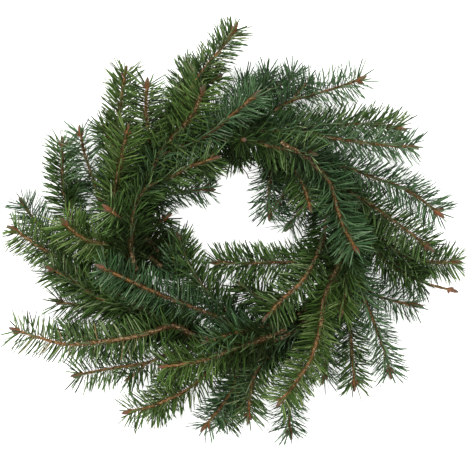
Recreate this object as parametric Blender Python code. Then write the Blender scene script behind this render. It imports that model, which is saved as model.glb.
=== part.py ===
"""A preserved fir wreath, lying on its back with its face up.

The wreath is a hoop of bundled dark twigs, a thin wire wound round it, and
fir sprays whose cut ends are bound to the hoop under the wire. The sprays
lean the same way round, clockwise as seen from above. Each spray is one
body: its stem, a few side twigs, its buds and its needles.

Units are metres, +Z is up, and the back of the hoop rests on Z = 0.
"""

import itertools
import math
import random

import bmesh
import bpy
import numpy as np
from mathutils import Matrix, Quaternion, Vector

MM = 0.001

# Hoop. The section is an octagon; the seat is the circle that stems rest on.
HOOP_RADIUS = 90 * MM
TUBE_RADIUS = 7.5 * MM
SEAT_RADIUS = 7.3 * MM
PINCH_RADIUS = 5.6 * MM
HOOP_HEIGHT = 7.1 * MM
HOOP_SIDES = 8
HOOP_CHORDS = 48
PINCH_HALF_WIDTH = 3.0 * MM
PINCH_RAMP = 3.0 * MM
FLAT_DEPTH = 0.3 * MM

# Binding wire. Each turn takes in the butts that lie within one of the
# reaches, and runs on to the next turn along the inner underside of the hoop.
WIRE_RADIUS = 0.5 * MM
WIRE_TURNS = 14
WIRE_START = 0.92
WIRE_SIDES = 10
WIRE_STEP = 1.1 * MM
WIRE_LEAD = 2.2 * MM
WIRE_REACHES = (30 * MM, 26 * MM, 22 * MM, 19 * MM, 16 * MM, 13 * MM, 10 * MM)
WIRE_RUN_CLOCK = 216
WIRE_RUN_GAP = 0.65 * MM
WIRE_SEARCH = 10
WIRE_GAP = 0.3 * MM
STEEPEST_CUT = 0.35

# Stems
STEM_RADIUS = 2.4 * MM
STEM_TIP_RADIUS = 1.1 * MM
THIN_STEM = 0.72
BUTT_RUN = 20 * MM
RISE_POWER = 1.2
STEM_PITCH = 20 * MM
UPRIGHT_PITCH = 14 * MM
TWIG_RADIUS = 1.5 * MM
TWIG_TIP_RADIUS = 0.88 * MM
TWIG_PITCH = 14 * MM
TWIG_BEND = 0.35
CURVE_STEPS = 12

# A stem is lifted in small steps until it is clear of what it lies on, and
# its neighbouring points are lifted with it by these shares.
GAP = 0.30 * MM
LAY_STEP = 0.25 * MM
LAY_ROUNDS = 400
LIFT_SHARES = ((1, 0.6), (2, 0.3))

# Buds
BUD_LENGTH = 9.5 * MM
BUD_WIDTH = 4.4 * MM
SIDE_BUD_LENGTH = 6.5 * MM
SIDE_BUD_WIDTH = 3.2 * MM
BUD_COVER = 0.6

# Needles
NEEDLE_LENGTH = 21 * MM
NEEDLE_SIZES = (0.9, 1.05)
NEEDLE_RADIUS = 0.75 * MM
NEEDLE_TIP_SHARE = 0.6
NEEDLE_PITCH = 9.6 * MM
NEEDLE_LEAN = 52
LEAN_SPREAD = 6
NEEDLE_GAP = 0.3 * MM
NEEDLE_ROWS = (45, 225, 135, 315)
ROW_SPREAD = 10
TIP_LEAN = 33
TIP_SIZE = 0.9
TIP_SETBACK = 11 * MM
FIRST_SITE = 0.4
BARE_BUTT = 10 * MM
BARE_TWIG = 5 * MM
STEEP_SIDE = 0.2
FLOOR_GAP = 0.6 * MM
SEED = 4

# What is tried in turn where a needle would touch another piece
FIT_SIZES = (1.0, 0.8, 0.62)
FIT_TURNS = (0, 90, -90, 22, -22, 180)
FIT_TILTS = (0, -14, 12)
HOLE_SHARES = (0.3, 0.6, 0.8, 1.0)

# The whole wreath is shifted in plan so that its box is centred on Z
FRAME_SHIFT = (-1 * MM, -3 * MM, 0.0)

# The clear hole in the middle, in plan before that shift: low and high corner
HOLE_LOW = (-36 * MM, -14 * MM)
HOLE_HIGH = (20 * MM, 33 * MM)

# Needle colours, and the colours and finishes of hoop and wire
DEEP_GREEN = (0.045, 0.085, 0.040)
BLUE_GREEN = (0.060, 0.105, 0.075)
FRESH_GREEN = (0.095, 0.135, 0.040)
NEEDLE_ROUGHNESS = 0.6
HOOP_BROWN = (0.035, 0.024, 0.018)
HOOP_ROUGHNESS = 0.85
WIRE_BROWN = (0.060, 0.045, 0.040)
WIRE_ROUGHNESS = 0.5
WIRE_METALLIC = 0.8

# Sprays. Each row: colour, clock place of the butt on the hoop's section
# (0 outside, 90 on top, 180 inside), the hoop angle at which the stem
# leaves it (None where the stem lies straight across the hoop), height of
# the tip, plan points of the stem up to the tip, and side twigs as
# (share of the stem, turn, length). Angles in degrees, lengths in mm.
# The rows run from the bottom layer to the top one.
LOW_SPRAYS = (
    (BLUE_GREEN, 10, 125, 13, ((-1, 114), (18, 123), (42, 134)), ()),
    (DEEP_GREEN, 10, 40, 13, ((115, 12), (142, -14), (159, -21), (176, -22), (198, -22)), ()),
    (DEEP_GREEN, 10, 26, 12, ((125, -15), (155, -36), (168, -41), (194, -48)), ((0.62, 40, 26),)),
    (BLUE_GREEN, 10, 10, 13, ((109, -38), (124, -50), (141, -57), (163, -60)), ()),
    (DEEP_GREEN, 10, 356, 12, ((95, -54), (98, -72), (102, -111), (103, -135)), ()),
    (BLUE_GREEN, 10, 340, 12, ((84, -60), (80, -93), (78, -111), (75, -129)), ()),
    (BLUE_GREEN, 10, 326, 13, ((57, -111), (48, -130), (46, -158), (48, -177)), ()),
    (DEEP_GREEN, 10, 308, 12, ((10, -115), (0, -132), (-8, -150), (-12, -169)), ()),
    (DEEP_GREEN, 10, 244, 13, ((-105, -66), (-126, -61), (-143, -59), (-161, -54)), ()),
    (BLUE_GREEN, 10, 228, 13, ((-130, -40), (-156, -7), (-169, 6), (-189, 35)), ()),
    (DEEP_GREEN, 10, 214, 13, ((-122, -7), (-139, 8), (-150, 41), (-151, 88)), ((0.66, -38, 28),)),
    (BLUE_GREEN, 90, None, 16, ((31, 98), (35, 80), (32, 62), (29, 47), (29, 13)), ()),
    (BLUE_GREEN, 90, None, 14, ((78, 58), (68, 42), (52, 18), (42, 4)), ()),
    (BLUE_GREEN, 90, None, 14, ((62, 68), (52, 52), (41, 37), (32, 22)), ()),
    (DEEP_GREEN, 90, None, 15,
     ((101, -2), (85, -12), (55, -21), (29, -22), (3, -23), (-24, -22)), ()),
    (DEEP_GREEN, 90, None, 13, ((56, -82), (34, -63), (19, -53), (0, -38)), ()),
    (BLUE_GREEN, 90, None, 15, ((-102, 16), (-85, 22), (-61, 36), (-35, 41), (-17, 41)), ()),
    (DEEP_GREEN, 90, None, 15, ((-93, -18), (-79, 1), (-70, 11), (-55, 21)), ()),
    (DEEP_GREEN, 90, None, 16, ((14, -96), (-2, -72), (-20, -53), (-39, -28), (-52, 6)), ()),
    (BLUE_GREEN, 90, None, 14, ((-42, -92), (-45, -70), (-50, -37), (-55, -16), (-61, 2)), ()),
)
MID_SPRAYS = (
    (BLUE_GREEN, 45, 105, 28,
     ((16, 99), (41, 115), (60, 121), (97, 132), (113, 139)), ((0.6, 38, 28),)),
    (DEEP_GREEN, 60, 92, 26, ((28, 98), (60, 96), (88, 97), (122, 97), (148, 92)), ()),
    (DEEP_GREEN, 60, 50, 28, ((103, 36), (120, 26), (135, 15), (152, 2), (171, -13)), ()),
    (BLUE_GREEN, 60, 14, 28, ((105, -41), (111, -54), (120, -76), (128, -98), (134, -123)), ()),
    (FRESH_GREEN, 75, 2, 30, ((95, -38), (92, -52), (89, -72)), ()),
    (DEEP_GREEN, 60, 316, 28, ((45, -85), (34, -96), (25, -106), (14, -122), (12, -141), (10, -162)), ()),
    (BLUE_GREEN, 45, 302, 28,
     ((8, -106), (-1, -128), (-9, -141), (-18, -153), (-31, -168)), ((0.66, 36, 24),)),
    (FRESH_GREEN, 60, 287, 28, ((-10, -98), (-27, -119), (-44, -133), (-74, -146), (-99, -152)), ()),
    (DEEP_GREEN, 45, 270, 28, ((-48, -98), (-74, -108), (-111, -114), (-143, -120)), ((0.6, 36, 26),)),
    (DEEP_GREEN, 60, 236, 28, ((-100, -59), (-118, -54), (-135, -41), (-152, -31), (-165, -25)), ()),
    (FRESH_GREEN, 45, 226, 32, ((-130, -33), (-154, -18), (-168, -10), (-180, 0), (-197, 10)), ()),
    (BLUE_GREEN, 45, 202, 28,
     ((-115, 22), (-120, 41), (-128, 62), (-132, 78), (-135, 97)), ((0.55, -34, 34),)),
    (FRESH_GREEN, 60, 186, 30, ((-104, 67), (-102, 92), (-99, 118), (-94, 148)), ((0.6, 34, 26),)),
    (DEEP_GREEN, 60, 150, 32,
     ((-49, 110), (-32, 139), (-9, 167), (2, 185)), ((0.62, -46, 30), (0.36, 32, 24))),
)
TOP_SPRAYS = (
    (BLUE_GREEN, 75, 62, 44, ((84, 62), (101, 58), (121, 50), (138, 44), (157, 33), (178, 16)), ()),
    (BLUE_GREEN, 90, 92, 46, ((55, 91), (77, 86), (94, 83), (124, 79), (157, 76)), ()),
    (DEEP_GREEN, 90, 100, 40, ((22, 80), (42, 76), (53, 73), (71, 70)), ()),
    (DEEP_GREEN, 110, 70, 36, ((47, 64), (54, 53), (61, 36), (65, 20)), ()),
    (BLUE_GREEN, 90, 52, 50, ((78, 51), (83, 36), (94, 4), (105, -15)), ()),
    (DEEP_GREEN, 130, 20, 40, ((75, -3), (67, -18), (62, -33), (42, -51), (22, -73)), ()),
    (FRESH_GREEN, 80, 346, 46, ((81, -40), (74, -59), (72, -80), (60, -111), (34, -145)), ()),
    (BLUE_GREEN, 110, 302, 40, ((34, -76), (19, -79), (3, -81), (-31, -92)), ()),
    (FRESH_GREEN, 90, 286, 44, ((-10, -99), (-27, -105), (-38, -107), (-67, -111)), ()),
    (DEEP_GREEN, 80, 246, 44,
     ((-57, -76), (-74, -82), (-96, -87), (-143, -92), (-171, -85), (-194, -77)), ()),
    (BLUE_GREEN, 150, 278, 48, ((-24, -66), (-57, -53), (-83, -41), (-120, -23)), ()),
    (FRESH_GREEN, 90, None, 44, ((-64, -26), (-80, -15), (-100, -10), (-135, 1), (-150, 17)), ()),
    (DEEP_GREEN, 90, None, 50, ((-66, -14), (-76, -3), (-90, 10), (-114, 28)), ()),
    (FRESH_GREEN, 75, 198, 46, ((-104, 32), (-102, 49), (-99, 62), (-91, 97)), ()),
    (FRESH_GREEN, 90, 172, 50, ((-78, 58), (-75, 84), (-77, 108), (-75, 136)), ()),
    (DEEP_GREEN, 90, 186, 42, ((-85, 32), (-70, 46), (-50, 54), (-40, 60), (-12, 69)), ()),
    (FRESH_GREEN, 90, 166, 52, ((-74, 62), (-61, 78), (-46, 94), (-35, 108), (-26, 130)), ()),
    (BLUE_GREEN, 90, 158, 50, ((-64, 70), (-44, 78), (-27, 86), (-12, 97), (22, 125)), ()),
)
# The one spray that points up out of the wreath: plan points of its stem
# and their heights above its seat on the hoop, then the height of its tip
UPRIGHT_PLAN = ((-22, 83), (-8, 84), (2.7, 82.7), (8, 82))
UPRIGHT_RISES = (0, 1, 12)
UPRIGHT_HEIGHT = 58

# Marks of the pieces that are no spray among the rods already in place
HOOP_MARK = -1
WIRE_MARK = -2
TINY = 1e-9


def clear_scene():
    """Take every object out of the open file."""
    for item in list(bpy.data.objects):
        bpy.data.objects.remove(item, do_unlink=True)


def new_collection(name):
    """A collection linked to the scene."""
    collection = bpy.data.collections.new(name)
    bpy.context.scene.collection.children.link(collection)
    return collection


def finish_material(name, colour, roughness, metallic=0.0):
    """A Principled BSDF with the piece's own colour, roughness and metal."""
    material = bpy.data.materials.new(name)
    material.use_nodes = True
    shader = material.node_tree.nodes["Principled BSDF"]
    shader.inputs["Base Color"].default_value = (*colour, 1.0)
    shader.inputs["Roughness"].default_value = roughness
    shader.inputs["Metallic"].default_value = metallic
    material.diffuse_color = (*colour, 1.0)
    return material


def hoop_point(angle, clock, distance):
    """A point round the hoop: ring angle, clock angle on its section."""
    reach = HOOP_RADIUS + distance * math.cos(clock)
    height = HOOP_HEIGHT + distance * math.sin(clock)
    return (reach * math.cos(angle), reach * math.sin(angle), height)


def smooth_curve(points, pitch, bud_length):
    """Points about one pitch apart on a smooth curve through the given ones.

    The last stretch is the bud, from its base to its tip.
    """
    points = [Vector(point) for point in points]
    ends = [2 * points[0] - points[1]] + points + [2 * points[-1] - points[-2]]
    dense = []
    for before, start, end, after in zip(ends, ends[1:], ends[2:], ends[3:]):
        for step in range(CURVE_STEPS):
            t = step / CURVE_STEPS
            dense.append(0.5 * (
                2 * start + (end - before) * t
                + (2 * before - 5 * start + 4 * end - after) * t ** 2
                + (3 * start - before - 3 * end + after) * t ** 3))
    dense.append(points[-1])
    dense = np.array(dense)
    run = np.concatenate(([0], np.cumsum(np.linalg.norm(np.diff(dense, axis=0), axis=1))))
    count = max(3, round((run[-1] - bud_length) / pitch) + 1)
    places = np.append(np.linspace(0, run[-1] - bud_length, count), run[-1])
    return np.column_stack([np.interp(places, run, dense[:, axis]) for axis in range(3)])


def nearest_offsets(a, b, starts, ends):
    """Shortest vectors from each of many segments to the segment a to b."""
    d1 = b - a
    d2 = ends - starts
    offset = a - starts
    len1 = max(d1 @ d1, TINY ** 2)
    len2 = np.maximum((d2 * d2).sum(axis=1), TINY ** 2)
    across = d2 @ d1
    c = offset @ d1
    f = (d2 * offset).sum(axis=1)
    spread = np.maximum(len1 * len2 - across ** 2, TINY ** 3)
    s = (across * f - c * len2) / spread
    s = np.clip(s, 0, 1)
    t = np.clip((across * s + f) / len2, 0, 1)
    s = np.clip((across * t - c) / len1, 0, 1)
    return offset + s[:, None] * d1 - t[:, None] * d2


def reach_towards(steepness, lift, radii, square):
    """How far a rod's surface lies from its axis in one direction.

    A square rod has its ridges up, down and at its sides. Lift is the
    direction's upward share, and steepness the upward share of the rod.
    """
    level = np.sqrt(np.maximum(1 - steepness ** 2, TINY))
    upward = np.minimum(1.0, np.abs(lift) / level)
    sideways = np.sqrt(1 - upward ** 2)
    return np.where(square, radii * np.maximum(upward, sideways), radii)


class Crowd:
    """Rods already in place: the hoop, square stems, the wire and needles."""

    def __init__(self):
        self.starts = np.zeros((0, 3))
        self.ends = np.zeros((0, 3))
        self.radii = np.zeros(0)
        self.owners = np.zeros(0, dtype=int)
        self.square = np.zeros(0, dtype=bool)

    def add(self, path, radii, owner, square=False):
        """Add a chain of rods; the radii belong to its points."""
        path = np.asarray(path, dtype=float)
        thick = np.maximum(radii[:-1], radii[1:])
        self.starts = np.vstack([self.starts, path[:-1]])
        self.ends = np.vstack([self.ends, path[1:]])
        self.radii = np.concatenate([self.radii, thick])
        self.owners = np.concatenate([self.owners, np.full(len(thick), owner)])
        self.square = np.concatenate([self.square, np.full(len(thick), square)])

    def room(self, start, end, radius, owner, square=False):
        """Free space round a rod, to the nearest rod of another owner."""
        others = self.owners != owner
        starts, ends = self.starts[others], self.ends[others]
        offsets = nearest_offsets(start, end, starts, ends)
        far = np.maximum(np.linalg.norm(offsets, axis=1), TINY)
        lift = offsets[:, 2] / far
        steps = ends - starts
        steep = steps[:, 2] / np.linalg.norm(steps, axis=1)
        theirs = reach_towards(steep, lift, self.radii[others], self.square[others])
        step = end - start
        ours = reach_towards(step[2] / np.linalg.norm(step), lift, radius, square)
        return float((far - theirs - ours).min())


def lay(path, radii, crowd, owner, held=0):
    """Lift a stem, point by point, until it lies on what is below it."""
    path = path.copy()
    for _ in range(LAY_ROUNDS):
        lift = np.zeros(len(path))
        for i in range(len(path) - 1):
            thick = max(radii[i], radii[i + 1])
            room = crowd.room(path[i], path[i + 1], thick, owner, square=True)
            short = min(max(0.0, GAP - room), LAY_STEP)
            lift[i] = max(lift[i], short)
            lift[i + 1] = max(lift[i + 1], short)
        if not lift.any():
            break
        spread = lift.copy()
        for shift, share in LIFT_SHARES:
            spread[shift:] = np.maximum(spread[shift:], share * lift[:-shift])
            spread[:-shift] = np.maximum(spread[:-shift], share * lift[shift:])
        path[held:, 2] += spread[held:]
    return path


def tapered(count, thick, thin):
    """Radii that fall evenly from the butt to the tip."""
    return np.linspace(thick, thin, count)


def with_bud(radii, width):
    """The room that a stem takes up: its last stretch is as wide as its bud."""
    return np.append(radii[:-1], width / 2)


def stem_course(clock, leave, tip_height, plan, thick):
    """The stem of one row of the table before it is laid on the others."""
    clock = math.radians(clock)
    seat = SEAT_RADIUS + GAP + thick * max(abs(math.sin(clock)), abs(math.cos(clock)))
    base_height = HOOP_HEIGHT + seat * math.sin(clock)
    points = []
    if leave is not None:
        start = math.radians(leave) + BUTT_RUN / HOOP_RADIUS
        for share in (0, 0.5, 1):
            angle = start + share * (math.radians(leave) - start)
            points.append(hoop_point(angle, clock, seat))
    steps = len(plan)
    for number, (x, y) in enumerate(plan, start=1):
        share = number / steps
        if leave is None:
            share = (number - 1) / (steps - 1)
        rise = share ** RISE_POWER
        height = base_height + (tip_height * MM - base_height) * rise
        points.append((x * MM, y * MM, height))
    return smooth_curve(points, STEM_PITCH, BUD_LENGTH)


class Spray:
    """One spray: its stem, side twigs, needles and buds."""

    def __init__(self, number, colour, path, radii):
        self.number = number
        self.colour = colour
        self.path = path
        self.radii = radii
        self.twigs = []
        self.needles = []

    @property
    def name(self):
        """Name of the spray's body, with two digits."""
        return f"spray_{self.number:02d}"

    @property
    def limbs(self):
        """Path and radii of the stem and of each side twig."""
        return [(self.path, self.radii)] + self.twigs


def point_at(path, share):
    """Place and heading at a share of the path's length."""
    steps = np.linalg.norm(np.diff(path, axis=0), axis=1)
    run = np.concatenate(([0], np.cumsum(steps)))
    place = share * run[-1]
    index = min(int(np.searchsorted(run, place, side="right")) - 1, len(steps) - 1)
    along = (place - run[index]) / steps[index]
    point = path[index] + along * (path[index + 1] - path[index])
    heading = (path[index + 1] - path[index]) / steps[index]
    return Vector(point), Vector(heading)


def lay_sprays(crowd):
    """Lay every stem, from the bottom layer to the top one."""
    sprays = []
    rows = LOW_SPRAYS + MID_SPRAYS + TOP_SPRAYS
    for number, (colour, clock, leave, tip_height, plan, _) in enumerate(rows, start=1):
        thin = number <= len(LOW_SPRAYS)
        thick = STEM_RADIUS * (THIN_STEM if thin else 1.0)
        course = stem_course(clock, leave, tip_height, plan, thick)
        sprays.append(lay_spray(number, colour, course, thick, crowd))
    sprays.append(lay_upright(len(rows) + 1, crowd))
    for spray, (*_, twigs) in zip(sprays, rows):
        for share, turn, length in twigs:
            add_twig(spray, share, math.radians(turn), length * MM, crowd)
    return sprays


def lay_spray(number, colour, course, thick, crowd):
    """Lay one stem along its course and add it to the rods in place."""
    radii = tapered(len(course), thick, STEM_TIP_RADIUS)
    room = with_bud(radii, BUD_WIDTH)
    path = lay(course, room, crowd, number)
    crowd.add(path, room, number, square=True)
    return Spray(number, colour, path, radii)


def lay_upright(number, crowd):
    """The spray whose tip points up out of the wreath."""
    foot = HOOP_HEIGHT + SEAT_RADIUS + GAP + STEM_RADIUS
    heights = [foot + rise * MM for rise in UPRIGHT_RISES] + [UPRIGHT_HEIGHT * MM]
    points = [(x * MM, y * MM, height) for (x, y), height in zip(UPRIGHT_PLAN, heights)]
    course = smooth_curve(points, UPRIGHT_PITCH, BUD_LENGTH)
    return lay_spray(number, DEEP_GREEN, course, STEM_RADIUS, crowd)


def add_twig(spray, share, turn, length, crowd):
    """A side twig that leaves the stem in the plane of the wreath."""
    root, heading = point_at(spray.path, share)
    aim = Quaternion((0, 0, 1), turn) @ Vector((heading.x, heading.y, 0)).normalized()
    bend = Quaternion((0, 0, 1), -turn * TWIG_BEND) @ aim
    points = [root, root + aim * length / 2, root + (aim + bend) * length / 2]
    course = smooth_curve(points, TWIG_PITCH, SIDE_BUD_LENGTH)
    radii = tapered(len(course), TWIG_RADIUS, TWIG_TIP_RADIUS)
    room = with_bud(radii, SIDE_BUD_WIDTH)
    path = lay(course, room, crowd, spray.number, held=1)
    crowd.add(path, room, spray.number, square=True)
    spray.twigs.append((path, radii))


def stems_cut(angle, sprays):
    """Where stems pass through the hoop's section at one ring angle."""
    forward = np.array([-math.sin(angle), math.cos(angle), 0])
    outward = np.array([math.cos(angle), math.sin(angle), 0])
    cuts = []
    for spray in sprays:
        for path, radii in spray.limbs:
            side = path @ forward
            for i in range(len(path) - 1):
                step = path[i + 1] - path[i]
                share = side[i] / (side[i] - side[i + 1])
                cut = path[i] + share * step
                if not 0 <= share <= 1 or cut @ outward < 0:
                    continue
                slant = abs(step @ forward) / np.linalg.norm(step)
                reach = cut @ outward - HOOP_RADIUS
                height = cut[2] - HOOP_HEIGHT
                cuts.append((reach, height, max(radii[i], radii[i + 1]), slant))
    return cuts


def wire_loop(angle, held):
    """One turn of wire: a snug outline round the hoop and the held butts."""
    circles = [(0.0, 0.0, PINCH_RADIUS)] + held
    slack = GAP + WIRE_RADIUS
    tangents = []
    for side in range(WIRE_SIDES):
        clock = 1.5 * math.pi + side * 2 * math.pi / WIRE_SIDES
        ux, uz = math.cos(clock), math.sin(clock)
        tangents.append((ux, uz, max(x * ux + z * uz + r for x, z, r in circles) + slack))
    corners = []
    for side in range(-1, WIRE_SIDES - 1):
        ux, uz, far = tangents[side]
        vx, vz, near = tangents[side + 1]
        det = ux * vz - uz * vx
        corners.append(((far * vz - near * uz) / det, (near * ux - far * vx) / det))
    loop = []
    for number, (reach, height) in enumerate(corners[:-1]):
        lead = WIRE_STEP * (0.5 - number / (WIRE_SIDES - 2)) / HOOP_RADIUS
        turn = angle + lead
        spread = HOOP_RADIUS + reach
        loop.append((spread * math.cos(turn), spread * math.sin(turn), HOOP_HEIGHT + height))
    return loop


def wire_turn(angle, sprays, crowd):
    """The widest turn of wire that fits at one ring angle, or None."""
    cuts = stems_cut(angle, sprays)
    run_clock = math.radians(WIRE_RUN_CLOCK)
    run_reach = TUBE_RADIUS + WIRE_RUN_GAP + WIRE_RADIUS
    lead = WIRE_LEAD / HOOP_RADIUS
    for widest in WIRE_REACHES:
        held = [cut for cut in cuts if math.hypot(cut[0], cut[1]) < widest]
        if any(slant < STEEPEST_CUT for _, _, _, slant in held):
            continue
        circles = [(reach, height, thick / slant) for reach, height, thick, slant in held]
        turn = [hoop_point(angle + lead, run_clock, run_reach)]
        turn += wire_loop(angle, circles)
        turn.append(hoop_point(angle - lead, run_clock, run_reach))
        turn.append(hoop_point(angle - math.pi / WIRE_TURNS, run_clock, run_reach))
        room = min(
            crowd.room(np.array(start), np.array(end), WIRE_RADIUS, WIRE_MARK)
            for start, end in zip(turn, turn[1:]))
        if room >= WIRE_GAP:
            return turn
    return None


def wind_wire(sprays, crowd):
    """The wire's path and the ring angles of its turns."""
    path = []
    angles = []
    for number in range(WIRE_TURNS):
        home = -2 * math.pi * (number + WIRE_START) / WIRE_TURNS
        for step in range(2 * WIRE_SEARCH + 1):
            shift = (step + 1) // 2 * (-1) ** step
            angle = home + math.radians(shift)
            turn = wire_turn(angle, sprays, crowd)
            if turn is not None:
                angles.append(angle)
                path += turn
                break
    return np.array(path[:-1]), angles


def needle_sites(path, start):
    """Places for needles along one stem or twig, tip first."""
    steps = np.linalg.norm(np.diff(path, axis=0), axis=1)
    length = steps.sum()
    count = max(1, round((length - start) / NEEDLE_PITCH))
    step = (length - start) / count
    return [1 - (number + FIRST_SITE) * step / length for number in range(count)]


def needle_tip(root, heading, spin, lean, length):
    """End of a needle that leans off the heading, spun about it."""
    side = heading.cross(Vector((0, 0, 1)))
    if side.length < STEEP_SIDE:
        side = Vector((1, 0, 0))
    side.normalize()
    away = Quaternion(heading, math.radians(spin)) @ side
    lean = math.radians(lean)
    return root + length * (math.cos(lean) * heading + math.sin(lean) * away)


def in_hole(start, end):
    """Whether a needle would reach into the wreath's hole."""
    for share in HOLE_SHARES:
        x = start.x + share * (end.x - start.x)
        y = start.y + share * (end.y - start.y)
        if HOLE_LOW[0] < x < HOLE_HIGH[0] and HOLE_LOW[1] < y < HOLE_HIGH[1]:
            return True
    return False


def place_needle(spray, root, heading, spin, lean, length, crowd):
    """Set one needle, turned or shortened until it is clear of the rest."""
    for size, turn, tilt in itertools.product(FIT_SIZES, FIT_TURNS, FIT_TILTS):
        tip = needle_tip(root, heading, spin + turn, lean + tilt, length * size)
        if tip.z < FLOOR_GAP or in_hole(root, tip):
            continue
        start, end = np.array(root), np.array(tip)
        if crowd.room(start, end, NEEDLE_RADIUS, spray.number) < NEEDLE_GAP:
            continue
        radii = np.array([NEEDLE_RADIUS, NEEDLE_RADIUS * NEEDLE_TIP_SHARE])
        crowd.add(np.array([start, end]), radii, spray.number)
        spray.needles.append((root, tip))
        return


def wanted_needles(spray, rng):
    """Root, heading, spin, lean and length of each needle that a spray wants."""
    length = np.linalg.norm(np.diff(spray.path, axis=0), axis=1).sum()
    root, heading = point_at(spray.path, 1 - TIP_SETBACK / length)
    wanted = [
        (root, heading, spin, TIP_LEAN, NEEDLE_LENGTH * TIP_SIZE) for spin in NEEDLE_ROWS]
    limbs = [(path, BARE_TWIG) for path, _ in spray.twigs]
    limbs.append((spray.path, BARE_BUTT))
    rows = itertools.cycle(NEEDLE_ROWS)
    for path, start in limbs:
        for share in needle_sites(path, start):
            root, heading = point_at(path, share)
            spin = next(rows) + rng.uniform(-ROW_SPREAD, ROW_SPREAD)
            size = NEEDLE_LENGTH * rng.uniform(*NEEDLE_SIZES)
            lean = NEEDLE_LEAN + rng.uniform(-LEAN_SPREAD, LEAN_SPREAD)
            wanted.append((root, heading, spin, lean, size))
    return wanted


def grow_needles(sprays, crowd):
    """Needles on every stem and twig, all sprays taking turns from their tips."""
    rng = random.Random(SEED)
    queues = [wanted_needles(spray, rng) for spray in sprays]
    for turn in itertools.zip_longest(*queues):
        for spray, needle in zip(sprays, turn):
            if needle is not None:
                place_needle(spray, *needle, crowd)


def curve_tube(name, path, radii):
    """A four-sided tube along a path, with a ridge on top."""
    curve = bpy.data.curves.new(name, "CURVE")
    curve.dimensions = "3D"
    curve.bevel_depth = 1.0
    curve.bevel_resolution = 0
    curve.twist_mode = "Z_UP"
    curve.use_fill_caps = True
    spline = curve.splines.new("POLY")
    spline.points.add(len(path) - 1)
    for point, place, radius in zip(spline.points, path, radii):
        point.co = (*place, 1.0)
        point.radius = radius
    return mesh_from_curve(name, curve)


def mesh_from_curve(name, curve):
    """Turn a curve into a mesh object whose loose caps are welded on."""
    holder = bpy.data.objects.new(name + "_curve", curve)
    bpy.context.scene.collection.objects.link(holder)
    graph = bpy.context.evaluated_depsgraph_get()
    mesh = bpy.data.meshes.new_from_object(holder.evaluated_get(graph))
    bpy.data.objects.remove(holder, do_unlink=True)
    bm = bmesh.new()
    bm.from_mesh(mesh)
    bmesh.ops.remove_doubles(bm, verts=bm.verts, dist=0.01 * MM)
    bmesh.ops.recalc_face_normals(bm, faces=bm.faces)
    bm.to_mesh(mesh)
    bm.free()
    mesh.name = name
    return bpy.data.objects.new(name, mesh)


def solid(name, build):
    """A mesh object from one bmesh primitive."""
    bm = bmesh.new()
    build(bm)
    mesh = bpy.data.meshes.new(name)
    bm.to_mesh(mesh)
    bm.free()
    return bpy.data.objects.new(name, mesh)


def pose_along(start, end):
    """Matrix that stands a +Z shape on the middle of a line."""
    start, end = Vector(start), Vector(end)
    turn = (end - start).to_track_quat("Z", "Y").to_matrix().to_4x4()
    return Matrix.Translation((start + end) / 2) @ turn


def needle_solid(root, tip):
    """A three-sided needle that tapers to a point."""
    def build(bm):
        bmesh.ops.create_cone(
            bm, cap_ends=True, segments=3, radius1=NEEDLE_RADIUS, radius2=0.0,
            depth=(tip - root).length, matrix=pose_along(root, tip))
    return solid("needle", build)


def bud_solid(path, length, width):
    """A plump faceted bud that ends where the path ends."""
    end, heading = point_at(path, 1.0)
    scale = Matrix.Diagonal((width / 2, width / 2, length / 2, 1.0))

    def build(bm):
        place = pose_along(end - heading * length, end) @ scale
        bmesh.ops.create_icosphere(bm, subdivisions=1, radius=1.0, matrix=place)
    return solid("bud", build)


def stem_solid(name, path, radii, bud_length):
    """A stem that ends inside its bud."""
    end, heading = point_at(path, 1.0)
    inner = path.copy()
    inner[-1] = end - heading * bud_length * BUD_COVER
    return curve_tube(name, inner, radii)


def join_solids(base, pieces, name):
    """One union of a body with a collection of pieces, applied."""
    group = new_collection(name + "_pieces")
    for piece in pieces:
        group.objects.link(piece)
    bpy.context.scene.collection.objects.link(base)
    union = base.modifiers.new("union", "BOOLEAN")
    union.operation = "UNION"
    union.operand_type = "COLLECTION"
    union.collection = group
    union.solver = "MANIFOLD"
    graph = bpy.context.evaluated_depsgraph_get()
    mesh = bpy.data.meshes.new_from_object(base.evaluated_get(graph))
    bpy.context.scene.collection.objects.unlink(base)
    for piece in pieces:
        bpy.data.objects.remove(piece, do_unlink=True)
    bpy.data.collections.remove(group)
    bpy.data.objects.remove(base, do_unlink=True)
    mesh.name = name
    return bpy.data.objects.new(name, mesh)


def build_spray(spray):
    """Stem, twigs, buds and needles of one spray in one body."""
    body = stem_solid(spray.name, spray.path, spray.radii, BUD_LENGTH)
    pieces = [bud_solid(spray.path, BUD_LENGTH, BUD_WIDTH)]
    for path, radii in spray.twigs:
        pieces.append(stem_solid("twig", path, radii, SIDE_BUD_LENGTH))
        pieces.append(bud_solid(path, SIDE_BUD_LENGTH, SIDE_BUD_WIDTH))
    pieces += [needle_solid(root, tip) for root, tip in spray.needles]
    return join_solids(body, pieces, spray.name)


def hoop_outline():
    """Section of the twig bundle: a regular outline with a flat side below."""
    outline = bpy.data.curves.new("hoop_section", "CURVE")
    outline.dimensions = "2D"
    spline = outline.splines.new("POLY")
    spline.points.add(HOOP_SIDES - 1)
    for number, point in enumerate(spline.points):
        angle = 2 * math.pi * (number + 0.5) / HOOP_SIDES
        point.co = (math.cos(angle), math.sin(angle), 0, 1)
    spline.use_cyclic_u = True
    return bpy.data.objects.new("hoop_section", outline)


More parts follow.
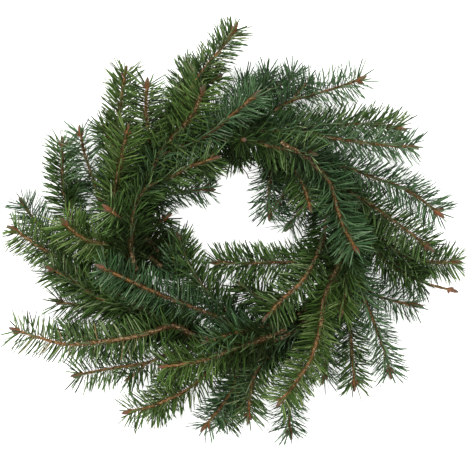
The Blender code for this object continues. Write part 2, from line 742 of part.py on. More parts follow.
def build_hoop(wire_angles):
    """Hoop of bundled twigs, pinched under each turn of wire, flat at the back."""
    section = hoop_outline()
    bpy.context.scene.collection.objects.link(section)
    curve = bpy.data.curves.new("hoop", "CURVE")
    curve.dimensions = "3D"
    curve.twist_mode = "Z_UP"
    curve.bevel_mode = "OBJECT"
    curve.bevel_object = section
    rings = []
    near = PINCH_HALF_WIDTH / HOOP_RADIUS
    far = (PINCH_HALF_WIDTH + PINCH_RAMP) / HOOP_RADIUS
    following = wire_angles[1:] + [wire_angles[0] - 2 * math.pi]
    for angle, after in zip(wire_angles, following):
        rings += [
            (angle + far, TUBE_RADIUS), (angle + near, PINCH_RADIUS),
            (angle - near, PINCH_RADIUS), (angle - far, TUBE_RADIUS),
            ((angle + after) / 2, TUBE_RADIUS)]
    spline = curve.splines.new("POLY")
    spline.points.add(len(rings) - 1)
    for point, (angle, radius) in zip(spline.points, rings):
        point.co = (*hoop_point(angle, 0, 0), 1)
        point.radius = radius
    spline.use_cyclic_u = True
    hoop = mesh_from_curve("hoop", curve)
    bpy.data.objects.remove(section, do_unlink=True)
    for vertex in hoop.data.vertices:
        if vertex.co.z < FLAT_DEPTH:
            vertex.co.z = 0.0
    return hoop


def build_wreath():
    """Every piece of the wreath, in one collection."""
    clear_scene()
    wreath = new_collection("preserved_fir_wreath")
    crowd = Crowd()
    chords = np.linspace(0, 2 * math.pi, HOOP_CHORDS + 1)
    ring = np.array([hoop_point(angle, 0, 0) for angle in chords])
    crowd.add(ring, np.full(len(ring), SEAT_RADIUS), HOOP_MARK)
    sprays = lay_sprays(crowd)
    stems_only = Crowd()
    for spray in sprays:
        for path, radii in spray.limbs:
            stems_only.add(path, radii, spray.number, square=True)
    wire_path, wire_angles = wind_wire(sprays, stems_only)
    wire_radii = np.full(len(wire_path), WIRE_RADIUS)
    crowd.add(wire_path, wire_radii, WIRE_MARK)
    grow_needles(sprays, crowd)

    hoop = build_hoop(wire_angles)
    hoop.data.materials.append(finish_material("hoop", HOOP_BROWN, HOOP_ROUGHNESS))
    wire = curve_tube("binding_wire", wire_path, wire_radii)
    wire.data.materials.append(
        finish_material("binding_wire", WIRE_BROWN, WIRE_ROUGHNESS, WIRE_METALLIC))
    bodies = [hoop, wire]
    for spray in sprays:
        body = build_spray(spray)
        body.data.materials.clear()
        body.data.materials.append(
            finish_material(body.name, spray.colour, NEEDLE_ROUGHNESS))
        bodies.append(body)
    for body in bodies:
        body.data.transform(Matrix.Translation(FRAME_SHIFT))
        wreath.objects.link(body)


build_wreath()
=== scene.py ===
"""Looks of the preserved fir wreath: foliage, twig hoop, wire, camera and light.

The stems are laid by the same rule as the wreath's own solids, so each fine
spray lies where its solid does. Units are metres.
"""

import math
from collections import namedtuple

import bpy
import numpy as np
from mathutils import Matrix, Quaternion, Vector


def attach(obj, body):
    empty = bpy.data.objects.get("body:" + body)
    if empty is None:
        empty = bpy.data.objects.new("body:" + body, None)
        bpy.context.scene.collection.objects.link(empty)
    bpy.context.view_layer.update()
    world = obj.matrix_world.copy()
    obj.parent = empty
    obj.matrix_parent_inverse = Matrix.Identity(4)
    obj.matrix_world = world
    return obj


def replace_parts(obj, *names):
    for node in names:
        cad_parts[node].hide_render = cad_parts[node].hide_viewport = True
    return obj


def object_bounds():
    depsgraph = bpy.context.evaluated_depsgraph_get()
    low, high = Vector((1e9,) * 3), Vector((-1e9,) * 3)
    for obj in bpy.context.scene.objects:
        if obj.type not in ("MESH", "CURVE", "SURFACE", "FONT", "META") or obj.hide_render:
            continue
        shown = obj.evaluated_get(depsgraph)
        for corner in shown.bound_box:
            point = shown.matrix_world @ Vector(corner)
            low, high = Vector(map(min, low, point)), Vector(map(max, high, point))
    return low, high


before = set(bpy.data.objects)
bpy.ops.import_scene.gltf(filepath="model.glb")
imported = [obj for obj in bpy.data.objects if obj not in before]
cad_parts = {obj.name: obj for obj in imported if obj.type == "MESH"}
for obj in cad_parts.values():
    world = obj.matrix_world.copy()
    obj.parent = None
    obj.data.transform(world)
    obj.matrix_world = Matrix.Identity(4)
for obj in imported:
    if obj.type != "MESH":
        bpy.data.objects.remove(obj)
CAD_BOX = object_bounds()
MM = 0.001
LOOKS = bpy.data.collections.new("wreath_looks")
bpy.context.scene.collection.children.link(LOOKS)

# Seed of every random draw, and the numbers of those that belong to no one spray
SEED = 11
LOOSE_DRAW = 24
FILL_DRAW = 500
HOOP_DRAW = 1000

# Hoop and stems, as in the solids
HOOP_RADIUS = 90 * MM
SEAT_RADIUS = 7.3 * MM
HOOP_HEIGHT = 7.1 * MM
HOOP_CHORDS = 48
STEM_RADIUS = 2.4 * MM
STEM_TIP_RADIUS = 1.1 * MM
THIN_STEM = 0.72
BUTT_RUN = 20 * MM
RISE_POWER = 1.2
STEM_PITCH = 20 * MM
UPRIGHT_PITCH = 14 * MM
TWIG_RADIUS = 1.5 * MM
TWIG_TIP_RADIUS = 0.88 * MM
TWIG_PITCH = 14 * MM
TWIG_BEND = 0.35
CURVE_STEPS = 12
GAP = 0.30 * MM
LAY_STEP = 0.25 * MM
LAY_ROUNDS = 400
LIFT_SHARES = ((1, 0.6), (2, 0.3))
BUD_LENGTH = 9.5 * MM
BUD_WIDTH = 4.4 * MM
BUD_SHARE = 0.84
SIDE_BUD_LENGTH = 6.5 * MM
SIDE_BUD_WIDTH = 3.2 * MM
FRAME_SHIFT = np.array((-1 * MM, -3 * MM, 0.0))
HOOP_MARK = -1
TINY = 1e-9

# Needle colours, named as the record's slots
DEEP = "needles_deep"
BLUE = "needles_blue"
FRESH = "needles_fresh"

# Sprays. Each row: colour, clock place of the butt on the hoop's section
# (0 outside, 90 on top, 180 inside), the hoop angle at which the stem
# leaves it (None where the stem lies straight across the hoop), height of
# the tip, plan points of the stem up to the tip, and side twigs as
# (share of the stem, turn, length). Angles in degrees, lengths in mm.
# The rows run from the bottom layer to the top one.
LOW_SPRAYS = (
    (BLUE, 10, 125, 13, ((-1, 114), (18, 123), (42, 134)), ()),
    (DEEP, 10, 40, 13, ((115, 12), (142, -14), (159, -21), (176, -22), (198, -22)), ()),
    (DEEP, 10, 26, 12, ((125, -15), (155, -36), (168, -41), (194, -48)), ((0.62, 40, 26),)),
    (BLUE, 10, 10, 13, ((109, -38), (124, -50), (141, -57), (163, -60)), ()),
    (DEEP, 10, 356, 12, ((95, -54), (98, -72), (102, -111), (103, -135)), ()),
    (BLUE, 10, 340, 12, ((84, -60), (80, -93), (78, -111), (75, -129)), ()),
    (BLUE, 10, 326, 13, ((57, -111), (48, -130), (46, -158), (48, -177)), ()),
    (DEEP, 10, 308, 12, ((10, -115), (0, -132), (-8, -150), (-12, -169)), ()),
    (DEEP, 10, 244, 13, ((-105, -66), (-126, -61), (-143, -59), (-161, -54)), ()),
    (BLUE, 10, 228, 13, ((-130, -40), (-156, -7), (-169, 6), (-189, 35)), ()),
    (DEEP, 10, 214, 13, ((-122, -7), (-139, 8), (-150, 41), (-151, 88)), ((0.66, -38, 28),)),
    (BLUE, 90, None, 16, ((31, 98), (35, 80), (32, 62), (29, 47), (29, 13)), ()),
    (BLUE, 90, None, 14, ((78, 58), (68, 42), (52, 18), (42, 4)), ()),
    (BLUE, 90, None, 14, ((62, 68), (52, 52), (41, 37), (32, 22)), ()),
    (DEEP, 90, None, 15,
     ((101, -2), (85, -12), (55, -21), (29, -22), (3, -23), (-24, -22)), ()),
    (DEEP, 90, None, 13, ((56, -82), (34, -63), (19, -53), (0, -38)), ()),
    (BLUE, 90, None, 15, ((-102, 16), (-85, 22), (-61, 36), (-35, 41), (-17, 41)), ()),
    (DEEP, 90, None, 15, ((-93, -18), (-79, 1), (-70, 11), (-55, 21)), ()),
    (DEEP, 90, None, 16, ((14, -96), (-2, -72), (-20, -53), (-39, -28), (-52, 6)), ()),
    (BLUE, 90, None, 14, ((-42, -92), (-45, -70), (-50, -37), (-55, -16), (-61, 2)), ()),
)
MID_SPRAYS = (
    (BLUE, 45, 105, 28,
     ((16, 99), (41, 115), (60, 121), (97, 132), (113, 139)), ((0.6, 38, 28),)),
    (DEEP, 60, 92, 26, ((28, 98), (60, 96), (88, 97), (122, 97), (148, 92)), ()),
    (DEEP, 60, 50, 28, ((103, 36), (120, 26), (135, 15), (152, 2), (171, -13)), ()),
    (BLUE, 60, 14, 28, ((105, -41), (111, -54), (120, -76), (128, -98), (134, -123)), ()),
    (FRESH, 75, 2, 30, ((95, -38), (92, -52), (89, -72)), ()),
    (DEEP, 60, 316, 28,
     ((45, -85), (34, -96), (25, -106), (14, -122), (12, -141), (10, -162)), ()),
    (BLUE, 45, 302, 28,
     ((8, -106), (-1, -128), (-9, -141), (-18, -153), (-31, -168)), ((0.66, 36, 24),)),
    (FRESH, 60, 287, 28, ((-10, -98), (-27, -119), (-44, -133), (-74, -146), (-99, -152)), ()),
    (DEEP, 45, 270, 28, ((-48, -98), (-74, -108), (-111, -114), (-143, -120)), ((0.6, 36, 26),)),
    (DEEP, 60, 236, 28, ((-100, -59), (-118, -54), (-135, -41), (-152, -31), (-165, -25)), ()),
    (FRESH, 45, 226, 32, ((-130, -33), (-154, -18), (-168, -10), (-180, 0), (-197, 10)), ()),
    (BLUE, 45, 202, 28,
     ((-115, 22), (-120, 41), (-128, 62), (-132, 78), (-135, 97)), ((0.55, -34, 34),)),
    (FRESH, 60, 186, 30, ((-104, 67), (-102, 92), (-99, 118), (-94, 148)), ((0.6, 34, 26),)),
    (DEEP, 60, 150, 32,
     ((-49, 110), (-32, 139), (-9, 167), (2, 185)), ((0.62, -46, 30), (0.36, 32, 24))),
)
TOP_SPRAYS = (
    (BLUE, 75, 62, 44, ((84, 62), (101, 58), (121, 50), (138, 44), (157, 33), (178, 16)), ()),
    (BLUE, 90, 92, 46, ((55, 91), (77, 86), (94, 83), (124, 79), (157, 76)), ()),
    (DEEP, 90, 100, 40, ((22, 80), (42, 76), (53, 73), (71, 70)), ()),
    (DEEP, 110, 70, 36, ((47, 64), (54, 53), (61, 36), (65, 20)), ()),
    (BLUE, 90, 52, 50, ((78, 51), (83, 36), (94, 4), (105, -15)), ()),
    (DEEP, 130, 20, 40, ((75, -3), (67, -18), (62, -33), (42, -51), (22, -73)), ()),
    (FRESH, 80, 346, 46, ((81, -40), (74, -59), (72, -80), (60, -111), (34, -145)), ()),
    (BLUE, 110, 302, 40, ((34, -76), (19, -79), (3, -81), (-31, -92)), ()),
    (FRESH, 90, 286, 44, ((-10, -99), (-27, -105), (-38, -107), (-67, -111)), ()),
    (DEEP, 80, 246, 44,
     ((-57, -76), (-74, -82), (-96, -87), (-143, -92), (-171, -85), (-194, -77)), ()),
    (BLUE, 150, 278, 48, ((-24, -66), (-57, -53), (-83, -41), (-120, -23)), ()),
    (FRESH, 90, None, 44, ((-64, -26), (-80, -15), (-100, -10), (-135, 1), (-150, 17)), ()),
    (DEEP, 90, None, 50, ((-66, -14), (-76, -3), (-90, 10), (-114, 28)), ()),
    (FRESH, 75, 198, 46, ((-104, 32), (-102, 49), (-99, 62), (-91, 97)), ()),
    (FRESH, 90, 172, 50, ((-78, 58), (-75, 84), (-77, 108), (-75, 136)), ()),
    (DEEP, 90, 186, 42, ((-85, 32), (-70, 46), (-50, 54), (-40, 60), (-12, 69)), ()),
    (FRESH, 90, 166, 52, ((-74, 62), (-61, 78), (-46, 94), (-35, 108), (-26, 130)), ()),
    (BLUE, 90, 158, 50, ((-64, 70), (-44, 78), (-27, 86), (-12, 97), (22, 125)), ()),
)
ROWS = LOW_SPRAYS + MID_SPRAYS + TOP_SPRAYS
CROSSING = [number for number, row in enumerate(ROWS, start=1) if row[2] is None]

# The one spray that points up out of the wreath, after the rows: plan points of its
# stem and their heights above its seat on the hoop, then the height of its tip
UPRIGHT_PLAN = ((-22, 83), (-8, 84), (2.7, 82.7), (8, 82))
UPRIGHT_RISES = (0, 1, 12)
UPRIGHT_HEIGHT = 58

# Needles: length and half width, with their spread, and height of crest and keel as
# shares of the half width
NEEDLE_LENGTH = 20.5 * MM
NEEDLE_SIZES = (0.78, 1.12)
NEEDLE_HALF_WIDTH = 0.68 * MM
NEEDLE_WIDTHS = (0.88, 1.1)
NEEDLE_CREST = 0.20
NEEDLE_KEEL = 0.42
NEEDLE_SIDES = 4

# A needle's rings on each layer of the wreath, as (place, width)
LOWER_RINGS = ((0.0, 0.52), (0.38, 1.0), (0.84, 0.74), (1.0, 0.0))
TOP_RINGS = ((0.0, 0.50), (0.18, 0.92), (0.56, 1.0), (0.88, 0.68), (1.0, 0.0))
NEEDLE_RINGS = {"low": LOWER_RINGS, "mid": LOWER_RINGS, "top": TOP_RINGS}

# How far left edge, keel, right edge and crest, and the tip, are underside and rim; the rim number
# paints shade on the side edges and a highlight along crest and keel
NEEDLE_SHADES = {"under": ((0.35, 1, 0.35, 0), 0.4), "rim": ((1, 0, 1, 0), 0.6)}

# Needles to a millimetre, the fewest on a twig, their crowding near the butt, thinner
# sprays and bare stretches
NEEDLE_DENSITY = (3.9, 4.7)
LEAST_NEEDLES = 8
NEEDLE_CROWDING = 1.12
THIN_SPRAYS = (9, 28, 29, 44)
THINNING = 0.64
BARE_ENDS = {3: 26 * MM}
BARE_BUTT = 14 * MM
BARE_TWIG = 4 * MM
BARE_BUD = 0.75

# Their size by spray, near the butt and at the tip, and the depth of their roots
SPRAY_SIZES = (0.94, 1.10)
UPRIGHT_SIZE = 0.78
BUTT_SIZE = 0.62
FULL_SIZE_RUN = 25 * MM
TIP_SHORTER = 0.12
ROOT_PLACE = 0.6

# Their turn round the stem, and how far they are combed to its sides
GOLDEN_ANGLE = math.pi * (3 - math.sqrt(5))
ANY_TURN = 6
SPIN_JITTER = 0.12
UPPER_PULL = {"low": 0.28, "mid": 0.34, "top": 0.40}
LOWER_PULL = 0.40
STEEP_STEM = 0.35

# Their lean from the stem in degrees, at its tip too, and what it is less on top
LEAN = (60, 78)
LEAN_JITTER = 9
TIP_LEAN = 36
TIP_RUN = 15 * MM
FORWARD = {"low": 18, "mid": 14, "top": 6}

# Their curve, and what turns their upper faces
CURVE_UP = (0.02, 0.18)
BEND_INWARD = 0.7
BEND_UP = 0.3
SIDE_CURVE = 0.045
FACE_INWARD = 0.5
FACE_JITTER = 0.25
UPWARD = {DEEP: 0.75, BLUE: 0.20, FRESH: 0.65}

# What the foliage keeps within: the photo's extent, the box's height, table and hoop
PHOTO_LOW = (-203 * MM, -188 * MM)
PHOTO_HIGH = (199.5 * MM, 187 * MM)
EDGE = 0.4 * MM
FLOOR_LIFT = 0.5 * MM
HOOP_CLEAR = 6.6 * MM
SHORTEST = 0.05
SHORTEST_KEPT = 0.35

# Stems: bark as a share of the solid's thickness, and its uneven surface
STEM_SHARE = 0.77
STEM_LEAST = 1.1 * MM
FINE_PITCH = 2.2 * MM
STEM_SIDES = 8
STEM_RIPPLE = 0.085
STEEP_TUBE = 0.2

# Buds: their outline from neck to point, their scales, and the smaller buds beside them
BUD_SIDES = 10
BUD_RINGS = 13
BUD_ROOT = 0.4
BUD_NECK = 0.66
BUD_SWELL = 0.34
BUD_BELLY = 0.36
BUD_POINT = 0.75
BUD_LEAST = 0.03 * MM
SCALE_ROWS = 5
SCALES_ROUND = 5
SCALE_STEP = 0.26
SCALE_WAVE = 0.45
SIDE_BUD_SHARE = 0.82
SIDE_BUD_SIZE = (0.72, 0.66)
SIDE_BUD_SIZES = (0.62, 1.12)
SIDE_BUD_TURN = (24, 60)
SIDE_BUD_BACK = 1.0 * MM

# Hoop: a bundle of twigs as (number, distance, radius, turns a lap), their wandering
# and knots, and how the wire pinches them
STRANDS = ((3, 2.35 * MM, 2.1 * MM, 2), (9, 5.05 * MM, 2.05 * MM, 3))
STRAND_RINGS = 300
STRAND_SIDES = 7
STRAND_SIZES = (0.86, 1.06)
STRAND_RIPPLE = 0.03
STRAND_WAVES = 4
STRAND_WANDER = 0.35 * MM
STRAND_TURN = 0.10
KNOT_EVERY = 23 * MM
KNOT_SWELL = 0.22
KNOT_WIDTH = 0.06
PINCH = 0.76
PINCH_THIN = (0.45, 0.55)
PINCH_HALF_WIDTH = 3.4 * MM
PINCH_RAMP = 3.4 * MM
WIRE_FOOT = 1.2 * MM
WIRE_BREAK = math.radians(4)
WIRE_WELD = 0.02 * MM

# How far from orange-brown to dark olive the bark of each layer goes, the darkest sprays, and the
# age of the butts of side twigs and fill sprays; for side twigs the same number sets how much
# painted shade their needles take near the butt
BARK_SHADES = {"low": (0.45, 0.95), "mid": (0.10, 0.75), "top": (0.0, 0.45)}
DARK_BARK = (1, 3, 22, 32, 35, 48, 49, 51)
TWIG_AGE_AND_SHADE = 0.35
FILL_AGE = 0.8

# Needles are darker on lower layers and near the butts of stems: painted shade where the upper
# layers shade them, partly also older needles; the top layer is a little lighter. Each mixes its
# own tone with its spray's
LAYER_PAINTED_SHADES = {"low": 0.87, "mid": 1.01, "top": 1.05}
BUTT_PAINTED_SHADE = 0.20
BUTT_SHADE_RUN = 58 * MM
OWN_TONE = 0.8
SPRAY_TONE = 0.2

# Loose twig ends at the top of the hole: hoop angles that they leave at, distance from
# the middle and height of their ends, and how far they turn on the way
LOOSE_TWIGS = 24
LOOSE_FROM = (116, 58)
LOOSE_REACH = (57 * MM, 72 * MM)
LOOSE_TURN = (-16, 12)
LOOSE_HEIGHT = (8 * MM, 16 * MM)
LOOSE_RADIUS = (0.55 * MM, 1.1 * MM)
LOOSE_TAPER = 0.55
LOOSE_POINTS = 5
LOOSE_SCATTER = 2
LOOSE_CROOK = 1.2
LOOSE_PITCH = 1.5 * MM
LOOSE_RIPPLE = 0.05
LOOSE_TONES = (0.4, 1.0)
LOOSE_NEEDLED = 3
LOOSE_SIZE = 0.9

# Small fill sprays below the rest: colour, hoop angle and clock place of the butt, and
# plan points of the stem in mm
FILL_HEIGHT = 8.5 * MM
FILL_RADIUS = 1.3 * MM
FILL_BARE = 16 * MM
FILL_END = 0.5 * MM
FILL_SPRAYS = (
    (BLUE, 95, 0, ((-3, 112), (4, 125), (10, 137))),
    (BLUE, 86, 0, ((14, 111), (22, 128), (28, 143))),
    (BLUE, 78, 0, ((32, 110), (42, 128), (50, 144))),
    (DEEP, 116, 0, ((-48, 112), (-44, 134), (-40, 150))),
    (DEEP, 230, 0, ((-88, -90), (-115, -92), (-148, -82))),
    (DEEP, 246, 0, ((-46, -108), (-58, -132), (-70, -152))),
    (DEEP, 206, 180, ((-66, -28), (-58, -16), (-53, -2))),
)

# Wire tails at the top of the hole: plan points and heights in mm
WIRE_TAIL_RADIUS = 0.45 * MM
WIRE_TAILS = (
    ((4, 82, 6), (3, 76, 5), (2, 69, 7), (4, 62, 9), (9, 56, 9), (11, 51, 8)),
    ((16, 80, 6), (14, 73, 7), (8, 67, 10), (1, 63, 12), (0, 58, 12)),
)

# Needle colours from the darkest needle to the palest, the underside's colour, and shine
NEEDLE_LOOKS = {
    DEEP: ((
        (0.0, (0.010, 0.013, 0.003)), (0.18, (0.020, 0.040, 0.008)), (0.45, (0.056, 0.120, 0.023)),
        (0.72, (0.120, 0.212, 0.058)), (0.92, (0.270, 0.350, 0.165)), (1.0, (0.280, 0.195, 0.080))),
        (0.125, 0.180, 0.090), 0.10),
    BLUE: ((
        (0.0, (0.010, 0.014, 0.004)), (0.18, (0.018, 0.040, 0.013)), (0.45, (0.042, 0.114, 0.034)),
        (0.75, (0.100, 0.204, 0.082)), (1.0, (0.250, 0.345, 0.200))),
        (0.120, 0.205, 0.095), 0.14),
    FRESH: ((
        (0.0, (0.011, 0.014, 0.003)), (0.18, (0.022, 0.042, 0.008)), (0.45, (0.061, 0.128, 0.021)),
        (0.75, (0.128, 0.218, 0.050)), (1.0, (0.260, 0.320, 0.130))),
        (0.135, 0.188, 0.068), 0.10),
}
NEEDLE_ROOT = (0.300, 0.160, 0.055)

# Other colours
BARK_STOPS = (
    (0.0, (0.700, 0.300, 0.090)), (0.28, (0.520, 0.245, 0.084)), (0.55, (0.240, 0.132, 0.050)),
    (0.85, (0.085, 0.052, 0.025)))
BARK_OLIVE = (0.130, 0.096, 0.034)
BARK_PALE = (0.640, 0.400, 0.220)
BARK_DARK = (0.060, 0.028, 0.012)
BUD_STOPS = (
    (0.0, (0.520, 0.180, 0.050)), (0.35, (0.260, 0.094, 0.046)), (1.0, (0.105, 0.080, 0.050)))
BUD_GREY = (0.120, 0.082, 0.060)
# Painted shade for the creases between bud scales
BUD_CREASE_SHADE = (0.040, 0.018, 0.010)
BUD_EDGE = (0.330, 0.200, 0.110)
HOOP_STOPS = (
    (0.0, (0.010, 0.006, 0.004)), (0.6, (0.028, 0.015, 0.009)), (1.0, (0.085, 0.038, 0.024)))
HOOP_LICHEN = (0.048, 0.034, 0.027)
HOOP_KNOT = (0.050, 0.028, 0.020)
WIRE_COAT = (0.080, 0.020, 0.014)
WIRE_WORN = (0.095, 0.058, 0.045)
FLOOR_STOPS = ((0.3, (0.93, 0.93, 0.925)), (0.7, (0.95, 0.95, 0.945)))

# Patches: waves a metre, detail, the noise at which they begin and are full, and cover
BARK_BLOTCHES = (330, 2.0, 0.47, 0.58, 0.88)
BARK_PEGS = (640, 1.0, 0.52, 0.62, 0.75)
BARK_CRACKS = (1500, 4.0, 0.45, 0.62, 0.5)
HOOP_BLOTCHES = (420, 5.0, 0.45, 0.75, 0.7)
WIRE_WEAR = (700, 4.0, 0.45, 0.65, 0.7)

# Where a mesh's number or the wire's wear acts: its range, and the strength at both ends
# Painted shade and highlight: needles darkened at their side edges and brightened along crest and
# keel
PAINTED_RIM_SHADE_AND_CREST_LIGHT = (0.0, 1.0, 1.45, 0.42)
UNDER_COVER = (0.25, 0.75, 0.0, 0.62)
ROOT_COVER = (0.0, 0.14, 0.85, 0.0)
BUD_DULLNESS = (0.3, 1.0, 0.0, 0.75)
# Painted shade: how far the crease darkening reaches into each scale row
CREASE_SHADE_COVER = (0.0, 0.4, 0.7, 0.0)
EDGE_COVER = (0.72, 1.0, 0.0, 0.7)
KNOT_COVER = (0.05, 0.2, 0.0, 0.5)
WIRE_METAL = (0.4, 0.7, 0.25, 0.85)

# Grain as waves and detail, the noise that counts as low and high, and finishes: depth
# and strength of relief, least and most roughness, and shine
BUD_GRAIN = (1800, 3.0)
HOOP_GRAIN = (1300, 4.0)
NOISE_SPAN = (0.3, 0.7)
BARK_FINISH = (0.35 * MM, 0.8, 0.55, 0.8, 0.1)
BUD_FINISH = (0.15 * MM, 0.5, 0.36, 0.55, 0.2)
HOOP_FINISH = (0.4 * MM, 0.9, 0.6, 0.85, 0.1)
WIRE_FINISH = (0.08 * MM, 0.6, 0.36, 0.6, 0.5)

# Plainer finishes: waves a metre, and the brightness and roughness that they bring
FINE_NOISE = 3.0
MOTTLE_WAVES = 420
MOTTLE = (0.78, 1.22)
GLOSS_WAVES = 260
NEEDLE_ROUGHNESS = (0.36, 0.54)
FLOOR_WAVES = 9
FLOOR_ROUGHNESS = 0.9
FLOOR_SHINE = 0.2

# Stage: floor, sky, one soft light above and a ring of them round the wreath
FLOOR_SIZE = 6.0
FLOOR_GLOW = 0.84
SKY_COLOUR = (1.0, 1.0, 1.0, 1.0)
SKY_STRENGTH = 0.44
KEY_LIGHT = ("key", (-0.45, 0.55, 1.7), 0.70, 8.0)
RING_LIGHTS = 6
RING_ELEVATION = math.radians(32)
RING_DISTANCE = 1.6
RING_SIZE = 0.7
RING_POWER = 6.5
RING_BRIGHTEST = math.radians(125)
RING_UNEVEN = 0.4

# Camera: the photo's width in pixels and a pixel's in millimetres, and what it shows
PHOTO_WIDTH = 470
PIXEL_SIZE = 0.864
FRAME_WIDTH = PHOTO_WIDTH * PIXEL_SIZE * MM
VIEW_CENTRE = (-1.86 * MM, -1.27 * MM)
VIEW_LEVEL = 22 * MM
LENS = 135.0
SENSOR = 36.0
CLIP_START = 0.05
CLIP_END = 50

# Materials by the record's slot, and the floor's, filled in as they are made
MATERIALS = {}

# A laid stem with its side twigs, and what the needles of one stem have in common
Spray = namedtuple("Spray", "number colour path radii twigs")
Habit = namedtuple("Habit", "density lean size layer colour shade")


def hoop_point(angle, clock, distance):
    """A point round the hoop: ring angle, clock angle on its section."""
    reach = HOOP_RADIUS + distance * math.cos(clock)
    height = HOOP_HEIGHT + distance * math.sin(clock)
    return (reach * math.cos(angle), reach * math.sin(angle), height)


def along_path(path):
    """Distance from the path's start at each of its points."""
    return np.concatenate(([0], np.cumsum(np.linalg.norm(np.diff(path, axis=0), axis=1))))


def read_off(places, run, rows):
    """Points or directions at distances along a path, between the path's own rows."""
    return np.stack([np.interp(places, run, rows[:, axis]) for axis in range(3)], -1)


def spline(before, start, end, after, t):
    """A place between start and end, on a smooth curve through all four points."""
    return 0.5 * (
        2 * start + (end - before) * t
        + (2 * before - 5 * start + 4 * end - after) * t ** 2
        + (3 * start - before - 3 * end + after) * t ** 3)


def smooth_curve(points, pitch, bud_length):
    """Points about one pitch apart on a smooth curve through the given ones.

    The last stretch is the bud, from its base to its tip.
    """
    points = [Vector(point) for point in points]
    ends = [2 * points[0] - points[1]] + points + [2 * points[-1] - points[-2]]
    dense = [
        spline(*four, step / CURVE_STEPS)
        for four in zip(ends, ends[1:], ends[2:], ends[3:]) for step in range(CURVE_STEPS)]
    dense = np.array(dense + [points[-1]])
    run = along_path(dense)
    count = max(3, round((run[-1] - bud_length) / pitch) + 1)
    places = np.append(np.linspace(0, run[-1] - bud_length, count), run[-1])
    return read_off(places, run, dense)


def nearest_offsets(a, b, starts, ends):
    """Shortest vectors from each of many segments to the segment a to b."""
    d1 = b - a
    d2 = ends - starts
    offset = a - starts
    len1 = max(d1 @ d1, TINY ** 2)
    len2 = np.maximum((d2 * d2).sum(axis=1), TINY ** 2)
    across = d2 @ d1
    c = offset @ d1
    f = (d2 * offset).sum(axis=1)
    spread = np.maximum(len1 * len2 - across ** 2, TINY ** 3)
    s = (across * f - c * len2) / spread
    s = np.clip(s, 0, 1)
    t = np.clip((across * s + f) / len2, 0, 1)
    s = np.clip((across * t - c) / len1, 0, 1)
    return offset + s[:, None] * d1 - t[:, None] * d2


def reach_towards(steepness, lift, radii, square):
    """How far a rod's surface lies from its axis in one direction.

    A square rod has its ridges up, down and at its sides. Lift is the
    direction's upward share, and steepness the upward share of the rod.
    """
    level = np.sqrt(np.maximum(1 - steepness ** 2, TINY))
    upward = np.minimum(1.0, np.abs(lift) / level)
    sideways = np.sqrt(1 - upward ** 2)
    return np.where(square, radii * np.maximum(upward, sideways), radii)


class Crowd:
    """Rods already in place: the hoop and the square stems."""

    def __init__(self):
        self.rods = np.zeros((0, 8))

    def add(self, path, radii, owner):
        """Add a chain of rods, each a row of start, end, radius and owner."""
        thick = np.maximum(radii[:-1], radii[1:])
        rows = (path[:-1], path[1:], thick, np.full(len(thick), owner))
        self.rods = np.vstack([self.rods, np.column_stack(rows)])

    def room(self, start, end, radius, owner):
        """Free space round a square rod, to the nearest rod of another owner."""
        others = self.rods[self.rods[:, 7] != owner]
        starts, ends, radii = others[:, :3], others[:, 3:6], others[:, 6]
        offsets = nearest_offsets(start, end, starts, ends)
        far = np.maximum(np.linalg.norm(offsets, axis=1), TINY)
        lift = offsets[:, 2] / far
        steps = ends - starts
        steep = steps[:, 2] / np.linalg.norm(steps, axis=1)
        theirs = reach_towards(steep, lift, radii, others[:, 7] != HOOP_MARK)
        step = end - start
        ours = reach_towards(step[2] / np.linalg.norm(step), lift, radius, True)
        return float((far - theirs - ours).min())


def lay(path, radii, crowd, owner, held=0):
    """Lift a stem, point by point, until it lies on what is below it."""
    path = path.copy()
    for _ in range(LAY_ROUNDS):
        lift = np.zeros(len(path))
        for i in range(len(path) - 1):
            thick = max(radii[i], radii[i + 1])
            room = crowd.room(path[i], path[i + 1], thick, owner)
            short = min(max(0.0, GAP - room), LAY_STEP)
            lift[i] = max(lift[i], short)
            lift[i + 1] = max(lift[i + 1], short)
        if not lift.any():
            break
        spread = lift.copy()
        for shift, share in LIFT_SHARES:
            spread[shift:] = np.maximum(spread[shift:], share * lift[:-shift])
            spread[:-shift] = np.maximum(spread[:-shift], share * lift[shift:])
        path[held:, 2] += spread[held:]
    return path


def with_bud(radii, width):
    """The room that a stem takes up: its last stretch is as wide as its bud."""
    return np.append(radii[:-1], width / 2)


def stem_course(clock, leave, tip_height, plan, thick):
    """The stem of one row of the table before it is laid on the others."""
    clock = math.radians(clock)
    seat = SEAT_RADIUS + GAP + thick * max(abs(math.sin(clock)), abs(math.cos(clock)))
    base_height = HOOP_HEIGHT + seat * math.sin(clock)
    points = []
    if leave is not None:
        start = math.radians(leave) + BUTT_RUN / HOOP_RADIUS
        for share in (0, 0.5, 1):
            angle = start + share * (math.radians(leave) - start)
            points.append(hoop_point(angle, clock, seat))
    steps = len(plan)
    for number, (x, y) in enumerate(plan, start=1):
        share = number / steps
        if leave is None:
            share = (number - 1) / (steps - 1)
        rise = share ** RISE_POWER
        height = base_height + (tip_height * MM - base_height) * rise
        points.append((x * MM, y * MM, height))
    return smooth_curve(points, STEM_PITCH, BUD_LENGTH)


def point_at(path, share):
    """Place and heading at a share of the path's length."""
    steps = np.linalg.norm(np.diff(path, axis=0), axis=1)
    run = along_path(path)
    place = share * run[-1]
    index = min(int(np.searchsorted(run, place, side="right")) - 1, len(steps) - 1)
    along = (place - run[index]) / steps[index]
    point = path[index] + along * (path[index + 1] - path[index])
    heading = (path[index + 1] - path[index]) / steps[index]
    return Vector(point), Vector(heading)


